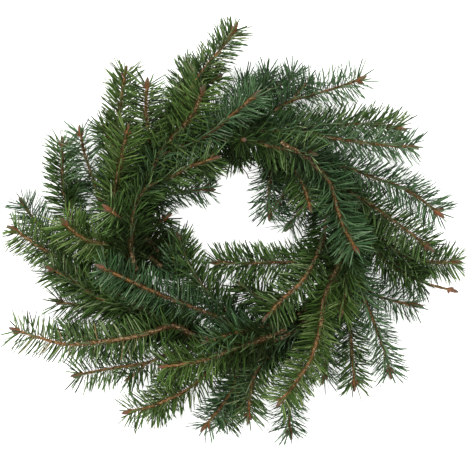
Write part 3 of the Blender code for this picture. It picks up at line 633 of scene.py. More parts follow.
def lay_sprays(crowd):
    """Lay every stem, from the bottom layer to the top one."""
    sprays = []
    for number, (colour, clock, leave, tip_height, plan, _) in enumerate(ROWS, start=1):
        thin = number <= len(LOW_SPRAYS)
        thick = STEM_RADIUS * (THIN_STEM if thin else 1.0)
        course = stem_course(clock, leave, tip_height, plan, thick)
        sprays.append(lay_spray(number, colour, course, thick, crowd))
    sprays.append(lay_upright(len(ROWS) + 1, crowd))
    for spray, (*_, twigs) in zip(sprays, ROWS):
        for share, turn, length in twigs:
            add_twig(spray, share, math.radians(turn), length * MM, crowd)
    return sprays


def lay_spray(number, colour, course, thick, crowd):
    """Lay one stem along its course and add it to the rods in place."""
    radii = np.linspace(thick, STEM_TIP_RADIUS, len(course))
    room = with_bud(radii, BUD_WIDTH)
    path = lay(course, room, crowd, number)
    crowd.add(path, room, number)
    return Spray(number, colour, path, radii, [])


def lay_upright(number, crowd):
    """The spray whose tip points up out of the wreath."""
    foot = HOOP_HEIGHT + SEAT_RADIUS + GAP + STEM_RADIUS
    heights = [foot + rise * MM for rise in UPRIGHT_RISES] + [UPRIGHT_HEIGHT * MM]
    points = [(x * MM, y * MM, height) for (x, y), height in zip(UPRIGHT_PLAN, heights)]
    course = smooth_curve(points, UPRIGHT_PITCH, BUD_LENGTH)
    return lay_spray(number, DEEP, course, STEM_RADIUS, crowd)


def add_twig(spray, share, turn, length, crowd):
    """A side twig that leaves the stem in the plane of the wreath."""
    root, heading = point_at(spray.path, share)
    aim = Quaternion((0, 0, 1), turn) @ Vector((heading.x, heading.y, 0)).normalized()
    bend = Quaternion((0, 0, 1), -turn * TWIG_BEND) @ aim
    points = [root, root + aim * length / 2, root + (aim + bend) * length / 2]
    course = smooth_curve(points, TWIG_PITCH, SIDE_BUD_LENGTH)
    radii = np.linspace(TWIG_RADIUS, TWIG_TIP_RADIUS, len(course))
    room = with_bud(radii, SIDE_BUD_WIDTH)
    path = lay(course, room, crowd, spray.number, held=1)
    crowd.add(path, room, spray.number)
    spray.twigs.append((path, radii))


def resampled(path, radii, pitch):
    """A smooth line through a stem's points, with a point every pitch."""
    points = np.vstack([2 * path[0] - path[1], path, 2 * path[-1] - path[-2]])
    grains = np.concatenate([[radii[0]], radii, [radii[-1]]])
    rows = []
    for i in range(1, len(points) - 2):
        four = points[i - 1:i + 3]
        steps = max(2, round(np.linalg.norm(four[2] - four[1]) / pitch))
        for t in np.arange(steps) / steps:
            rows.append((*spline(*four, t), grains[i] + t * (grains[i + 1] - grains[i])))
    rows.append((*points[-2], grains[-2]))
    rows = np.array(rows)
    return rows[:, :3], rows[:, 3]


def unit(vectors):
    """Vectors scaled to length one."""
    return vectors / np.maximum(np.linalg.norm(vectors, axis=-1, keepdims=True), TINY)


def headings(path):
    """Direction of the path at each of its points."""
    return unit(np.gradient(path, axis=0))


class Skin:
    """Vertices, faces and per-vertex values of one mesh."""

    def __init__(self):
        self.vertices = []
        self.faces = []
        self.values = {}
        self.count = 0

    def add(self, vertices, faces, **values):
        """Add a patch of the mesh; a value is one number, or one a vertex."""
        self.vertices.append(vertices)
        self.faces.append(faces + self.count)
        for name, numbers in values.items():
            self.values.setdefault(name, []).append(np.broadcast_to(numbers, len(vertices)))
        self.count += len(vertices)

    def build(self, name, slot):
        """Make the piece, in its slot's material, riding with the wreath."""
        mesh = bpy.data.meshes.new(name)
        mesh.from_pydata(np.concatenate(self.vertices), [], np.concatenate(self.faces))
        mesh.validate()
        mesh.shade_smooth()
        for label, parts in self.values.items():
            layer = mesh.attributes.new(label, "FLOAT", "POINT")
            layer.data.foreach_set("value", np.concatenate(parts).astype(np.float32))
        mesh.materials.append(MATERIALS[slot])
        piece = bpy.data.objects.new(name, mesh)
        LOOKS.objects.link(piece)
        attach(piece, "root")
        return piece


def ring_faces(rings, sides, closed=False):
    """Triangles between successive rings of vertices, with end fans if open."""
    ring, side = np.meshgrid(np.arange(rings if closed else rings - 1), np.arange(sides),
                             indexing="ij")
    after = (side + 1) % sides
    upper = (ring + 1) % rings
    a = ring * sides + side
    b = ring * sides + after
    c = upper * sides + after
    d = upper * sides + side
    faces = [np.stack([a, c, b], -1).reshape(-1, 3), np.stack([a, d, c], -1).reshape(-1, 3)]
    if not closed:
        fan = np.arange(1, sides - 1)
        first = np.stack([np.zeros_like(fan), fan, fan + 1], -1)
        last = (rings - 1) * sides
        faces += [first, np.stack([np.full_like(fan, last), last + fan + 1, last + fan], -1)]
    return np.concatenate(faces)


def tube_frames(path, closed=False):
    """A level direction across the path at each point, and the one across both."""
    ahead = headings(path)
    if closed:
        ahead = unit(np.roll(path, -1, axis=0) - np.roll(path, 1, axis=0))
    across = np.cross(ahead, (0, 0, 1.0))
    steep = np.linalg.norm(across, axis=1) < STEEP_TUBE
    across[steep] = np.cross(ahead[steep], (0, 1.0, 0))
    across = unit(across)
    return across, np.cross(across, ahead)


def tube(path, radii, sides, closed=False):
    """Vertices of a round tube; radii may hold one number a vertex."""
    across, upward = tube_frames(path, closed)
    angle = 2 * math.pi * np.arange(sides) / sides
    ring = (across[:, None] * np.cos(angle)[None, :, None]
            + upward[:, None] * np.sin(angle)[None, :, None])
    radii = np.asarray(radii)
    if radii.ndim == 1:
        radii = radii[:, None]
    return (path[:, None] + ring * radii[..., None]).reshape(-1, 3)


def ripple(count, sides, rng, strength):
    """A gentle uneven swell for the surface of a tube, round its sides."""
    rough = rng.normal(0, 1, (count, sides))
    smooth = (rough + np.roll(rough, 1, 0) + np.roll(rough, 1, 1) + np.roll(rough, -1, 1)) / 2
    return 1 + strength * smooth


def needle_roots(path, radii, bare, rng, habit):
    """Where needles leave a stem: root, heading, way out, lean, size, and the painted shade that
    darkens each towards the butt.
    """
    run = along_path(path)
    length = run[-1]
    start, stop = bare
    count = max(LEAST_NEEDLES, int((length - start - stop) / MM * habit.density))
    places = np.arange(count) + rng.uniform(-0.5, 0.5, count)
    places = (np.clip(places, 0, count) / count) ** NEEDLE_CROWDING
    places = start + places * (length - start - stop)
    points = read_off(places, run, path)
    ahead = unit(read_off(places, run, headings(path)))
    thick = np.interp(places, run, radii)
    across = np.cross(ahead, (0, 0, 1.0))
    steep = np.linalg.norm(across, axis=1) < STEEP_STEM
    across[steep] = (1.0, 0, 0)
    across = unit(across - (across * ahead).sum(1, keepdims=True) * ahead)
    upward = np.cross(across, ahead)
    spin = np.arange(count) * GOLDEN_ANGLE + rng.uniform(0, ANY_TURN)
    pull = np.where(np.sin(spin) > 0, UPPER_PULL[habit.layer], LOWER_PULL)
    spin = spin - pull * np.sin(2 * spin) + rng.normal(0, SPIN_JITTER, count)
    away = across * np.cos(spin)[:, None] + upward * np.sin(spin)[:, None]
    near_tip = np.clip(1 - (length - places) / TIP_RUN, 0, 1)
    lean = habit.lean - FORWARD[habit.layer] * np.clip(np.sin(spin), 0, 1) ** 2
    lean = lean + (TIP_LEAN - lean) * near_tip + rng.normal(0, LEAN_JITTER, count)
    size = habit.size * rng.uniform(*NEEDLE_SIZES, count) * (1 - TIP_SHORTER * near_tip)
    size *= np.clip(BUTT_SIZE + (places - start) / FULL_SIZE_RUN, 0, 1)
    # Painted shade: needles darken towards the stem's butt, where the upper layers shade them,
    # partly also as older needles
    butt_shade_factor = np.clip((places - start) / BUTT_SHADE_RUN, BUTT_PAINTED_SHADE, 1)
    roots = points + away * (thick * ROOT_PLACE)[:, None]
    return roots, ahead, away, np.radians(lean), size, butt_shade_factor


def needle_lines(roots, ahead, away, lean, size, stops, rng, upward_share):
    """Centre lines of needles and the direction that each one's upper face looks in."""
    count = len(roots)
    along = ahead * np.cos(lean)[:, None] + away * np.sin(lean)[:, None]
    inner = ahead * np.sin(lean)[:, None] - away * np.cos(lean)[:, None]
    up = np.zeros((count, 3))
    up[:, 2] = 1
    scatter = rng.normal(0, FACE_JITTER, (count, 3))
    face = unit(inner * FACE_INWARD + up * upward_share + scatter)
    face = unit(face - (face * along).sum(1, keepdims=True) * along)
    sideways = np.cross(along, face)
    length = NEEDLE_LENGTH * size
    bend = rng.uniform(*CURVE_UP, count)[:, None] * (inner * BEND_INWARD + up * BEND_UP)
    bend = bend + rng.normal(0, SIDE_CURVE, count)[:, None] * sideways
    stops = stops[None, :, None]
    line = (roots[:, None] + length[:, None, None] * (
        stops * along[:, None] + stops ** 2 * bend[:, None]))
    return line, face


def kept_in(line, roots, widths):
    """Shorten needles that would leave the wreath's extent, and lift those in the table."""
    low = np.array((*PHOTO_LOW, -math.inf))
    high = np.array((*PHOTO_HIGH, CAD_BOX[1].z - EDGE))
    tips = line[:, -1] - roots
    limit = np.where(tips > 0, high - roots, low - roots)
    moves = np.abs(tips) > TINY
    share = np.where(moves, limit / np.where(moves, tips, 1), math.inf)
    share = np.clip(share.min(axis=1), SHORTEST, 1)
    line = roots[:, None] + (line - roots[:, None]) * share[:, None, None]
    floor = FLOOR_LIFT + NEEDLE_HALF_WIDTH * widths[None, :]
    line[..., 2] = np.maximum(line[..., 2], floor)
    return line, share


def clear_of_hoop(line):
    """Which needles don't pass through the hoop."""
    reach = np.hypot(line[..., 0] - FRAME_SHIFT[0], line[..., 1] - FRAME_SHIFT[1]) - HOOP_RADIUS
    depth = np.hypot(reach, line[..., 2] - HOOP_HEIGHT)
    return (depth[:, 1:] > HOOP_CLEAR).all(axis=1)


def needle_skin(skin, line, face, width, tone, stops, widths):
    """Add flat needles with a low crest above and a keel below to the mesh."""
    count = len(line)
    rings = len(stops) - 1
    along = unit(np.gradient(line, axis=1))
    face = face[:, None] - (face[:, None] * along).sum(-1, keepdims=True) * along
    face = unit(face)[:, :rings]
    side = np.cross(along[:, :rings], face)
    half = width[:, None, None] * widths[None, :rings, None]
    middle = line[:, :rings]
    corners = [middle - side * half, middle - face * half * NEEDLE_KEEL,
               middle + side * half, middle + face * half * NEEDLE_CREST]
    body = np.stack(corners, axis=2).reshape(count, rings * NEEDLE_SIDES, 3)
    vertices = np.concatenate([body, line[:, rings:]], axis=1).reshape(-1, 3)
    last = (rings - 1) * NEEDLE_SIDES
    corner = np.arange(NEEDLE_SIDES)
    tip = np.stack([
        last + (corner + 1) % NEEDLE_SIDES, last + corner,
        np.full(NEEDLE_SIDES, rings * NEEDLE_SIDES)], -1)
    pattern = np.concatenate([ring_faces(rings, NEEDLE_SIDES)[:-2], tip])
    size = rings * NEEDLE_SIDES + 1
    faces = (pattern[None] + size * np.arange(count)[:, None, None]).reshape(-1, 3)
    places = np.concatenate([np.repeat(stops[:rings], NEEDLE_SIDES), [1.0]])
    shades = {
        name: np.tile([*(ring * rings), end], count)
        for name, (ring, end) in NEEDLE_SHADES.items()}
    skin.add(
        vertices, faces, tone=np.repeat(tone, size), along=np.tile(places, count), **shades)


def add_needles(needles, path, radii, bare, rng, habit, butt_age_and_shade=0.0):
    """Needles along one stem or twig, but for its bare butt and tip."""
    stops, widths = np.array(NEEDLE_RINGS[habit.layer]).T
    fine, grain = resampled(path, radii * STEM_SHARE, FINE_PITCH)
    roots, ahead, away, lean, size, butt_shade_factor = needle_roots(fine, grain, bare, rng, habit)
    upward = UPWARD[habit.colour]
    line, face = needle_lines(roots, ahead, away, lean, size, stops, rng, upward)
    line, share = kept_in(line, roots, widths)
    good = clear_of_hoop(line) & (share > SHORTEST_KEPT)
    width = NEEDLE_HALF_WIDTH * rng.uniform(*NEEDLE_WIDTHS, len(line))
    shades = OWN_TONE * rng.uniform(0, 1, len(line)) + SPRAY_TONE * habit.shade
    # Painted shade: needles darker on lower layers and near the butt
    shades = shades * LAYER_PAINTED_SHADES[habit.layer]
    shades *= 1 + butt_age_and_shade * (butt_shade_factor - 1)
    needle_skin(needles, line[good], face[good], width[good], shades[good], stops, widths)


def bud_skin(skin, base, tip, width, rng):
    """Add one pointed bud with overlapping scales to the mesh."""
    share = np.linspace(0, 1, BUD_RINGS)
    angle = 2 * math.pi * np.arange(BUD_SIDES) / BUD_SIDES + rng.uniform(0, ANY_TURN)
    belly = np.where(
        share < BUD_BELLY, BUD_NECK + BUD_SWELL * np.sin(math.pi / 2 * share / BUD_BELLY),
        (1 - np.clip((share - BUD_BELLY) / (1 - BUD_BELLY), 0, 1) ** 2.0) ** BUD_POINT)
    lobes = np.abs(np.cos(SCALES_ROUND / 2 * angle[None, :] + math.pi / 2 * np.floor(
        share * SCALE_ROWS)[:, None]))
    phase = np.mod(share[:, None] * SCALE_ROWS + SCALE_WAVE * lobes, 1.0)
    radii = width / 2 * belly[:, None] * (1 + SCALE_STEP * (0.5 - phase))
    radii = np.maximum(radii, BUD_LEAST)
    path = base + share[:, None] * (tip - base)
    vertices = tube(path, radii, BUD_SIDES)
    skin.add(
        vertices, ring_faces(BUD_RINGS, BUD_SIDES), along=np.repeat(share, BUD_SIDES),
        edge=phase.ravel(), tone=rng.uniform())


def bud_group(buds, path, length, width, rng):
    """The bud at the end of a stem or twig and the smaller ones beside it."""
    bud_skin(buds, path[-2], path[-1], width * BUD_SHARE, rng)
    heading = Vector(path[-1] - path[-2]).normalized()
    for turn in rng.uniform(*SIDE_BUD_TURN, 2) * (1, -1):
        if rng.uniform() < SIDE_BUD_SHARE:
            aim = np.array(Quaternion((0, 0, 1), math.radians(turn)) @ heading)
            root = path[-2] - np.array(heading) * SIDE_BUD_BACK
            size = np.array(SIDE_BUD_SIZE) * rng.uniform(*SIDE_BUD_SIZES)
            bud_skin(buds, root, root + aim * length * size[0], width * size[1], rng)


def stem_skin(skin, path, radii, rng, tone, butt_age_and_shade):
    """Add one stem or twig with an uneven bark surface to the mesh."""
    fine, grain = resampled(path, np.maximum(radii * STEM_SHARE, STEM_LEAST), FINE_PITCH)
    swell = ripple(len(fine), STEM_SIDES, rng, STEM_RIPPLE)
    vertices = tube(fine, grain[:, None] * swell, STEM_SIDES)
    run = along_path(fine)
    age = butt_age_and_shade * (1 - run / run[-1])
    skin.add(
        vertices, ring_faces(len(fine), STEM_SIDES), age=np.repeat(age, STEM_SIDES), tone=tone)


def inner_end(path):
    """The stem without the stretch that its bud stands for, but for its root."""
    inner = path.copy()
    inner[-1] = path[-2] + (path[-1] - path[-2]) * BUD_ROOT
    return inner


def dress_spray(spray, layer, stems, buds):
    """Fine needles for one spray, and its stem, twigs and buds."""
    rng = np.random.default_rng((SEED, spray.number))
    density = rng.uniform(*NEEDLE_DENSITY)
    if spray.number in THIN_SPRAYS:
        density *= THINNING
    size = rng.uniform(*SPRAY_SIZES)
    if spray.number > len(ROWS):
        size = UPRIGHT_SIZE
    lean = rng.uniform(*LEAN)
    bark_shade = rng.uniform(*BARK_SHADES[layer])
    if spray.number in DARK_BARK:
        bark_shade = BARK_SHADES["low"][1]
    habit = Habit(density, lean, size, layer, spray.colour, rng.uniform())
    butt = BARE_TWIG if spray.number in CROSSING else BARE_BUTT
    end = BARE_ENDS.get(spray.number, 0) + BUD_LENGTH * BARE_BUD
    limbs = [(spray.path, spray.radii, (butt, end), BUD_LENGTH, BUD_WIDTH, 1.0)]
    twig_bare = (BARE_TWIG, SIDE_BUD_LENGTH * BARE_BUD)
    limbs += [
        (path, radii, twig_bare, SIDE_BUD_LENGTH, SIDE_BUD_WIDTH, TWIG_AGE_AND_SHADE)
        for path, radii in spray.twigs]
    needles = Skin()
    for path, radii, bare, bud_length, bud_width, butt_age_and_shade in limbs:
        path = path + FRAME_SHIFT
        stem_skin(stems, inner_end(path), radii, rng, bark_shade, butt_age_and_shade)
        bud_group(buds, path, bud_length, bud_width, rng)
        add_needles(needles, path, radii, bare, rng, habit, butt_age_and_shade)
    node = f"spray_{spray.number:02d}"
    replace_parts(needles.build(node + "_needles", spray.colour), node)


def dress_fill(stems):
    """Small sprays tucked below the others, where the wreath is else too open."""
    rng = np.random.default_rng((SEED, FILL_DRAW))
    for number, (colour, angle, clock, plan) in enumerate(FILL_SPRAYS, start=1):
        butt = hoop_point(math.radians(angle), math.radians(clock), SEAT_RADIUS)
        points = [butt] + [(x * MM, y * MM, FILL_HEIGHT) for x, y in plan]
        path = smooth_curve(points, STEM_PITCH, SIDE_BUD_LENGTH) + FRAME_SHIFT
        radii = np.linspace(FILL_RADIUS, TWIG_TIP_RADIUS, len(path))
        bare = (FILL_BARE if clock == 0 else BARE_TWIG, FILL_END)
        lean = rng.uniform(*LEAN)
        stem_skin(stems, path, radii, rng, BARK_SHADES["low"][1], FILL_AGE)
        habit = Habit(NEEDLE_DENSITY[1], lean, 1.0, "low", colour, rng.uniform())
        needles = Skin()
        add_needles(needles, path, radii, bare, rng, habit)
        needles.build(f"fill_{number}_needles", colour)


def wire_angles():
    """Ring angles at which the binding wire passes under the hoop."""
    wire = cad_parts["binding_wire"].data
    feet = sorted(
        math.atan2(v.co.y - FRAME_SHIFT[1], v.co.x - FRAME_SHIFT[0])
        for v in wire.vertices if v.co.z < WIRE_FOOT)
    groups = [[feet[0]]]
    for angle in feet[1:]:
        if angle - groups[-1][-1] > WIRE_BREAK:
            groups.append([])
        groups[-1].append(angle)
    return [sum(group) / len(group) for group in groups]


def dress_hoop():
    """The hoop as a twisted bundle of twigs, pinched under each turn of wire."""
    rng = np.random.default_rng((SEED, HOOP_DRAW))
    angle = 2 * math.pi * np.arange(STRAND_RINGS) / STRAND_RINGS
    turns = np.array(wire_angles())
    gap = np.abs(np.mod(angle[:, None] - turns[None, :] + math.pi, 2 * math.pi) - math.pi)
    gap = gap.min(axis=1) * HOOP_RADIUS
    pinch = PINCH + (1 - PINCH) * np.clip((gap - PINCH_HALF_WIDTH) / PINCH_RAMP, 0, 1)
    skin = Skin()
    for count, distance, radius, laps in STRANDS:
        for strand in range(count):
            waves = rng.uniform(0, 2 * math.pi, STRAND_WAVES)
            wander = sum(
                np.sin((3 + 2 * k) * angle + waves[k]) / (1 + k) for k in range(STRAND_WAVES)) / 2
            clock = 2 * math.pi * strand / count + laps * angle + STRAND_TURN * wander
            away = distance * pinch + STRAND_WANDER * wander * pinch
            reach = HOOP_RADIUS + away * np.cos(clock)
            path = np.stack([
                reach * np.cos(angle), reach * np.sin(angle),
                HOOP_HEIGHT + away * np.sin(clock)], -1)
            place = np.mod(angle * HOOP_RADIUS / KNOT_EVERY + rng.uniform(), 1.0)
            knot = 1 + KNOT_SWELL * np.exp(-((place - 0.5) / KNOT_WIDTH) ** 2)
            thin = PINCH_THIN[0] + PINCH_THIN[1] * pinch
            thick = radius * rng.uniform(*STRAND_SIZES) * thin * knot
            swell = ripple(STRAND_RINGS, STRAND_SIDES, rng, STRAND_RIPPLE)
            vertices = tube(path, thick[:, None] * swell, STRAND_SIDES, closed=True)
            vertices[:, 2] = np.maximum(vertices[:, 2], 0.0)
            skin.add(
                vertices + FRAME_SHIFT, ring_faces(STRAND_RINGS, STRAND_SIDES, True),
                tone=rng.uniform(), knot=np.repeat(knot - 1, STRAND_SIDES))
    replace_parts(skin.build("hoop_twigs", "hoop"), "hoop")


def loose_twigs(rng):
    """Lines and radii of the twig ends that stand out of the hoop into the hole."""
    twigs = []
    for leave in np.linspace(*LOOSE_FROM, LOOSE_TWIGS):
        leave = leave + rng.normal(0, LOOSE_SCATTER)
        end = leave + rng.uniform(*LOOSE_TURN)
        reach = np.linspace(HOOP_RADIUS - SEAT_RADIUS, rng.uniform(*LOOSE_REACH), LOOSE_POINTS)
        crook = rng.normal(0, LOOSE_CROOK, LOOSE_POINTS)
        angle = np.radians(np.linspace(leave, end, LOOSE_POINTS) + crook)
        height = np.linspace(HOOP_HEIGHT, rng.uniform(*LOOSE_HEIGHT), LOOSE_POINTS)
        path = np.stack([reach * np.cos(angle), reach * np.sin(angle), height], -1)
        thick = rng.uniform(*LOOSE_RADIUS)
        twigs.append((path, np.linspace(thick, thick * LOOSE_TAPER, LOOSE_POINTS)))
    return twigs


def loose_ends():
    """Cut twig ends and wire tails that show at the top of the hole."""
    rng = np.random.default_rng((SEED, LOOSE_DRAW))
    twigs = loose_twigs(rng)
    needles = Skin()
    for path, radii in twigs[::LOOSE_NEEDLED]:
        habit = Habit(NEEDLE_DENSITY[0], LEAN[0], LOOSE_SIZE, "low", DEEP, rng.uniform())
        add_needles(needles, path + FRAME_SHIFT, radii, (BARE_TWIG, BARE_TWIG), rng, habit)
    needles.build("hole_needles", DEEP)
    tails = [
        (np.array(points) * MM, np.full(len(points), WIRE_TAIL_RADIUS)) for points in WIRE_TAILS]
    for name, slot, ends in (
            ("hoop_twig_ends", "hoop", twigs), ("wire_tail", "wire", tails)):
        skin = Skin()
        for path, radii in ends:
            fine, grain = resampled(path + FRAME_SHIFT, radii, LOOSE_PITCH)
            swell = ripple(len(fine), STRAND_SIDES, rng, LOOSE_RIPPLE)
            skin.add(
                tube(fine, grain[:, None] * swell, STRAND_SIDES),
                ring_faces(len(fine), STRAND_SIDES), tone=rng.uniform(*LOOSE_TONES), knot=0.0)
        skin.build(name, slot)


def dress_wire():
    """The binding wire keeps its own solid, rounded, with a finish."""
    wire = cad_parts["binding_wire"]
    weld = wire.modifiers.new("weld", "WELD")
    weld.merge_threshold = WIRE_WELD
    smooth = wire.modifiers.new("round", "SUBSURF")
    smooth.levels = smooth.render_levels = 1
    wire.data.materials.clear()
    wire.data.materials.append(MATERIALS["wire"])


class Graph:
    """Short ways to add shader nodes to one material."""

    def __init__(self, slot, name):
        MATERIALS[slot] = material = bpy.data.materials.new(name)
        material.use_nodes = True
        self.tree = material.node_tree
        self.shader = self.tree.nodes["Principled BSDF"]

    def feed(self, socket, value):
        """Set a socket or link another node's output to it."""
        if isinstance(value, bpy.types.NodeSocket):
            self.tree.links.new(value, socket)
        elif socket.type == "RGBA":
            socket.default_value = (*value, 1.0)
        else:
            socket.default_value = value

    def node(self, kind, output, inputs, **settings):
        """A new node with its inputs fed, and the output that is used."""
        made = self.tree.nodes.new("ShaderNode" + kind)
        for name, value in settings.items():
            setattr(made, name, value)
        for place, value in inputs.items():
            self.feed(made.inputs[place], value)
        return made.outputs[output]

    def attribute(self, name):
        """A number stored on the mesh."""
        return self.node("Attribute", "Fac", {}, attribute_name=name)

    def mix(self, share, first, second):
        """Two colours mixed."""
        return self.node("Mix", 2, {0: share, 6: first, 7: second}, data_type="RGBA")

    def times(self, colour, share):
        """A colour made darker or lighter by a number."""
        return self.node("VectorMath", 0, {"Vector": colour, "Scale": share}, operation="SCALE")

    def ramp(self, value, stops):
        """A colour read off a row of (place, colour)."""
        colour = self.node("ValToRGB", "Color", {"Fac": value})
        elements = colour.node.color_ramp.elements
        for _ in stops[2:]:
            elements.new(0.5)
        for element, (place, shade) in zip(elements, stops):
            element.position = place
            element.color = (*shade, 1.0)
        return colour

    def scaled(self, value, *ends):
        """A number moved from one range, low and high, to another."""
        return self.node("MapRange", "Result", dict(enumerate((value, *ends))))

    def noise(self, waves, detail=FINE_NOISE):
        """Noise fixed to the piece, with its scale in waves a metre."""
        place = self.node("TexCoord", "Object", {})
        return self.node("TexNoise", "Fac", {"Vector": place, "Scale": waves, "Detail": detail})

    def uneven(self, noise, least, most):
        """A number that follows the noise between two values."""
        return self.scaled(noise, *NOISE_SPAN, least, most)

    def patches(self, ground, colour, waves, detail, begin, full, cover):
        """Patches of a colour over the ground, and the noise that they follow."""
        noise = self.noise(waves, detail)
        return self.mix(self.scaled(noise, begin, full, 0.0, cover), ground, colour), noise

    def finish(self, colour, roughness, shine):
        """Colour, roughness and shine of the surface."""
        self.feed(self.shader.inputs["Base Color"], colour)
        self.feed(self.shader.inputs["Roughness"], roughness)
        self.shader.inputs["Specular IOR Level"].default_value = shine

    def grained(self, colour, grain, depth, strength, least, most, shine):
        """A surface whose relief and roughness follow its grain."""
        sizes = {"Height": grain, "Distance": depth, "Strength": strength}
        self.feed(self.shader.inputs["Normal"], self.node("Bump", "Normal", sizes))
        self.finish(colour, self.uneven(grain, least, most), shine)


def needle_material(slot, stops, pale, shine):
    """Needles: each in its own green, with painted shade on their side edges and a painted
    highlight along crest and keel, pale below and brown at its root.
    """
    graph = Graph(slot, slot)
    green = graph.ramp(graph.attribute("tone"), stops)
    # Painted shade on the needle's side edges and a painted highlight along its crest and keel
    rim = graph.scaled(graph.attribute("rim"), *PAINTED_RIM_SHADE_AND_CREST_LIGHT)
    mottle = graph.uneven(graph.noise(MOTTLE_WAVES), *MOTTLE)
    green = graph.times(graph.times(green, mottle), rim)
    green = graph.mix(graph.scaled(graph.attribute("under"), *UNDER_COVER), green, pale)
    green = graph.mix(graph.scaled(graph.attribute("along"), *ROOT_COVER), green, NEEDLE_ROOT)
    graph.finish(green, graph.uneven(graph.noise(GLOSS_WAVES), *NEEDLE_ROUGHNESS), shine)


def bark_material():
    """Young bark: orange-brown towards the tip, darker at the butt, with pale pegs."""
    graph = Graph("bark", "young_bark")
    brown = graph.ramp(graph.attribute("age"), BARK_STOPS)
    brown = graph.mix(graph.attribute("tone"), brown, BARK_OLIVE)
    brown, _ = graph.patches(brown, BARK_DARK, *BARK_BLOTCHES)
    brown, _ = graph.patches(brown, BARK_PALE, *BARK_PEGS)
    brown, cracks = graph.patches(brown, BARK_DARK, *BARK_CRACKS)
    graph.grained(brown, cracks, *BARK_FINISH)


def bud_material():
    """Resinous buds: painted shade in the creases between scales, and paler edges to their scales.
    """
    graph = Graph("buds", "buds")
    brown = graph.ramp(graph.attribute("along"), BUD_STOPS)
    brown = graph.mix(graph.scaled(graph.attribute("tone"), *BUD_DULLNESS), brown, BUD_GREY)
    edge = graph.attribute("edge")
    # Painted shade in the creases between the scales
    brown = graph.mix(graph.scaled(edge, *CREASE_SHADE_COVER), brown, BUD_CREASE_SHADE)
    brown = graph.mix(graph.scaled(edge, *EDGE_COVER), brown, BUD_EDGE)
    graph.grained(brown, graph.noise(*BUD_GRAIN), *BUD_FINISH)


def hoop_material():
    """Near-black purple-brown twigs, lighter on their knots."""
    graph = Graph("hoop", "hoop_bark")
    brown = graph.ramp(graph.attribute("tone"), HOOP_STOPS)
    brown, _ = graph.patches(brown, HOOP_LICHEN, *HOOP_BLOTCHES)
    brown = graph.mix(graph.scaled(graph.attribute("knot"), *KNOT_COVER), brown, HOOP_KNOT)
    graph.grained(brown, graph.noise(*HOOP_GRAIN), *HOOP_FINISH)


def wire_material():
    """Dark red-brown coated wire with worn places."""
    graph = Graph("wire", "wire_coat")
    coat, wear = graph.patches(WIRE_COAT, WIRE_WORN, *WIRE_WEAR)
    graph.feed(graph.shader.inputs["Metallic"], graph.scaled(wear, *WIRE_METAL))
    graph.grained(coat, wear, *WIRE_FINISH)


def floor_material():
    """Matt white table that lets some light through from below."""
    graph = Graph("floor", "white_table")
    tone = graph.ramp(graph.noise(FLOOR_WAVES), FLOOR_STOPS)
    graph.feed(graph.shader.inputs["Emission Color"], tone)
    graph.shader.inputs["Emission Strength"].default_value = FLOOR_GLOW
    graph.finish(tone, FLOOR_ROUGHNESS, FLOOR_SHINE)


def make_floor():
    """The white table."""
    mesh = bpy.data.meshes.new("floor")
    half = FLOOR_SIZE / 2
    corners = [(-half, -half, 0), (half, -half, 0), (half, half, 0), (-half, half, 0)]
    mesh.from_pydata(corners, [], [(0, 1, 2, 3)])
    floor_material()
    mesh.materials.append(MATERIALS["floor"])
    floor = bpy.data.objects.new("floor", mesh)
    LOOKS.objects.link(floor)


def area_light(name, place, size, power):
    """A soft square light aimed at the middle of the wreath."""
    light = bpy.data.lights.new(name, "AREA")
    light.size = size
    light.energy = power
    holder = bpy.data.objects.new(name, light)
    holder.location = place
    holder.rotation_mode = "QUATERNION"
    holder.rotation_quaternion = (-Vector(place)).to_track_quat("-Z", "Y")
    bpy.context.scene.collection.objects.link(holder)


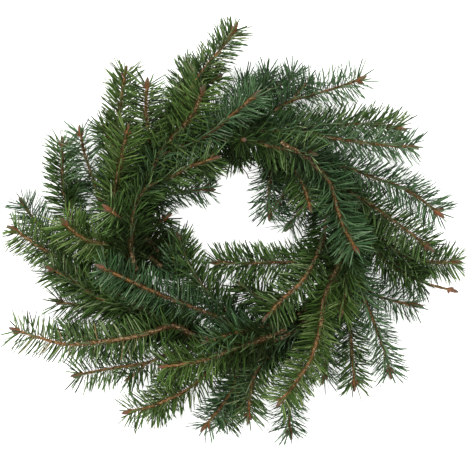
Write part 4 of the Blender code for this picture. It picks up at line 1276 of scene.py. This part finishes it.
def make_light():
    """A pale sky, one light above and soft lights all round."""
    world = bpy.data.worlds.new("studio")
    world.use_nodes = True
    sky = world.node_tree.nodes["Background"]
    sky.inputs["Color"].default_value = SKY_COLOUR
    sky.inputs["Strength"].default_value = SKY_STRENGTH
    bpy.context.scene.world = world
    area_light(*KEY_LIGHT)
    for index in range(RING_LIGHTS):
        azimuth = 2 * math.pi * (index + 0.5) / RING_LIGHTS
        out = RING_DISTANCE * math.cos(RING_ELEVATION)
        place = (out * math.cos(azimuth), out * math.sin(azimuth),
                 RING_DISTANCE * math.sin(RING_ELEVATION))
        power = RING_POWER * (1 + RING_UNEVEN * math.cos(azimuth - RING_BRIGHTEST))
        area_light(f"side_{index + 1}", place, RING_SIZE, power)


def make_camera():
    """A camera that looks straight down, and plain colours for its picture."""
    camera = bpy.data.cameras.new("camera")
    camera.lens = LENS
    camera.sensor_width = SENSOR
    camera.clip_start = CLIP_START
    camera.clip_end = CLIP_END
    holder = bpy.data.objects.new("camera", camera)
    distance = FRAME_WIDTH * LENS / SENSOR
    holder.location = (*VIEW_CENTRE, VIEW_LEVEL + distance)
    LOOKS.objects.link(holder)
    bpy.context.scene.camera = holder
    bpy.context.scene.view_settings.view_transform = "Standard"


def dress_wreath():
    """Everything that is seen of the wreath."""
    make_floor()
    make_light()
    make_camera()
    for slot, looks in NEEDLE_LOOKS.items():
        needle_material(slot, *looks)
    bark_material()
    bud_material()
    hoop_material()
    wire_material()
    crowd = Crowd()
    chords = np.linspace(0, 2 * math.pi, HOOP_CHORDS + 1)
    ring = np.array([hoop_point(angle, 0, 0) for angle in chords])
    crowd.add(ring, np.full(len(ring), SEAT_RADIUS), HOOP_MARK)
    sprays = lay_sprays(crowd)
    last_low = len(LOW_SPRAYS)
    last_mid = last_low + len(MID_SPRAYS)
    layers = (("low", sprays[:last_low]), ("mid", sprays[last_low:last_mid]),
              ("top", sprays[last_mid:]))
    for layer, members in layers:
        stems = Skin()
        buds = Skin()
        for spray in members:
            dress_spray(spray, layer, stems, buds)
        if layer == "low":
            dress_fill(stems)
        stems.build(f"stems_{layer}", "bark")
        buds.build(f"buds_{layer}", "buds")
    dress_hoop()
    dress_wire()
    loose_ends()


dress_wreath()
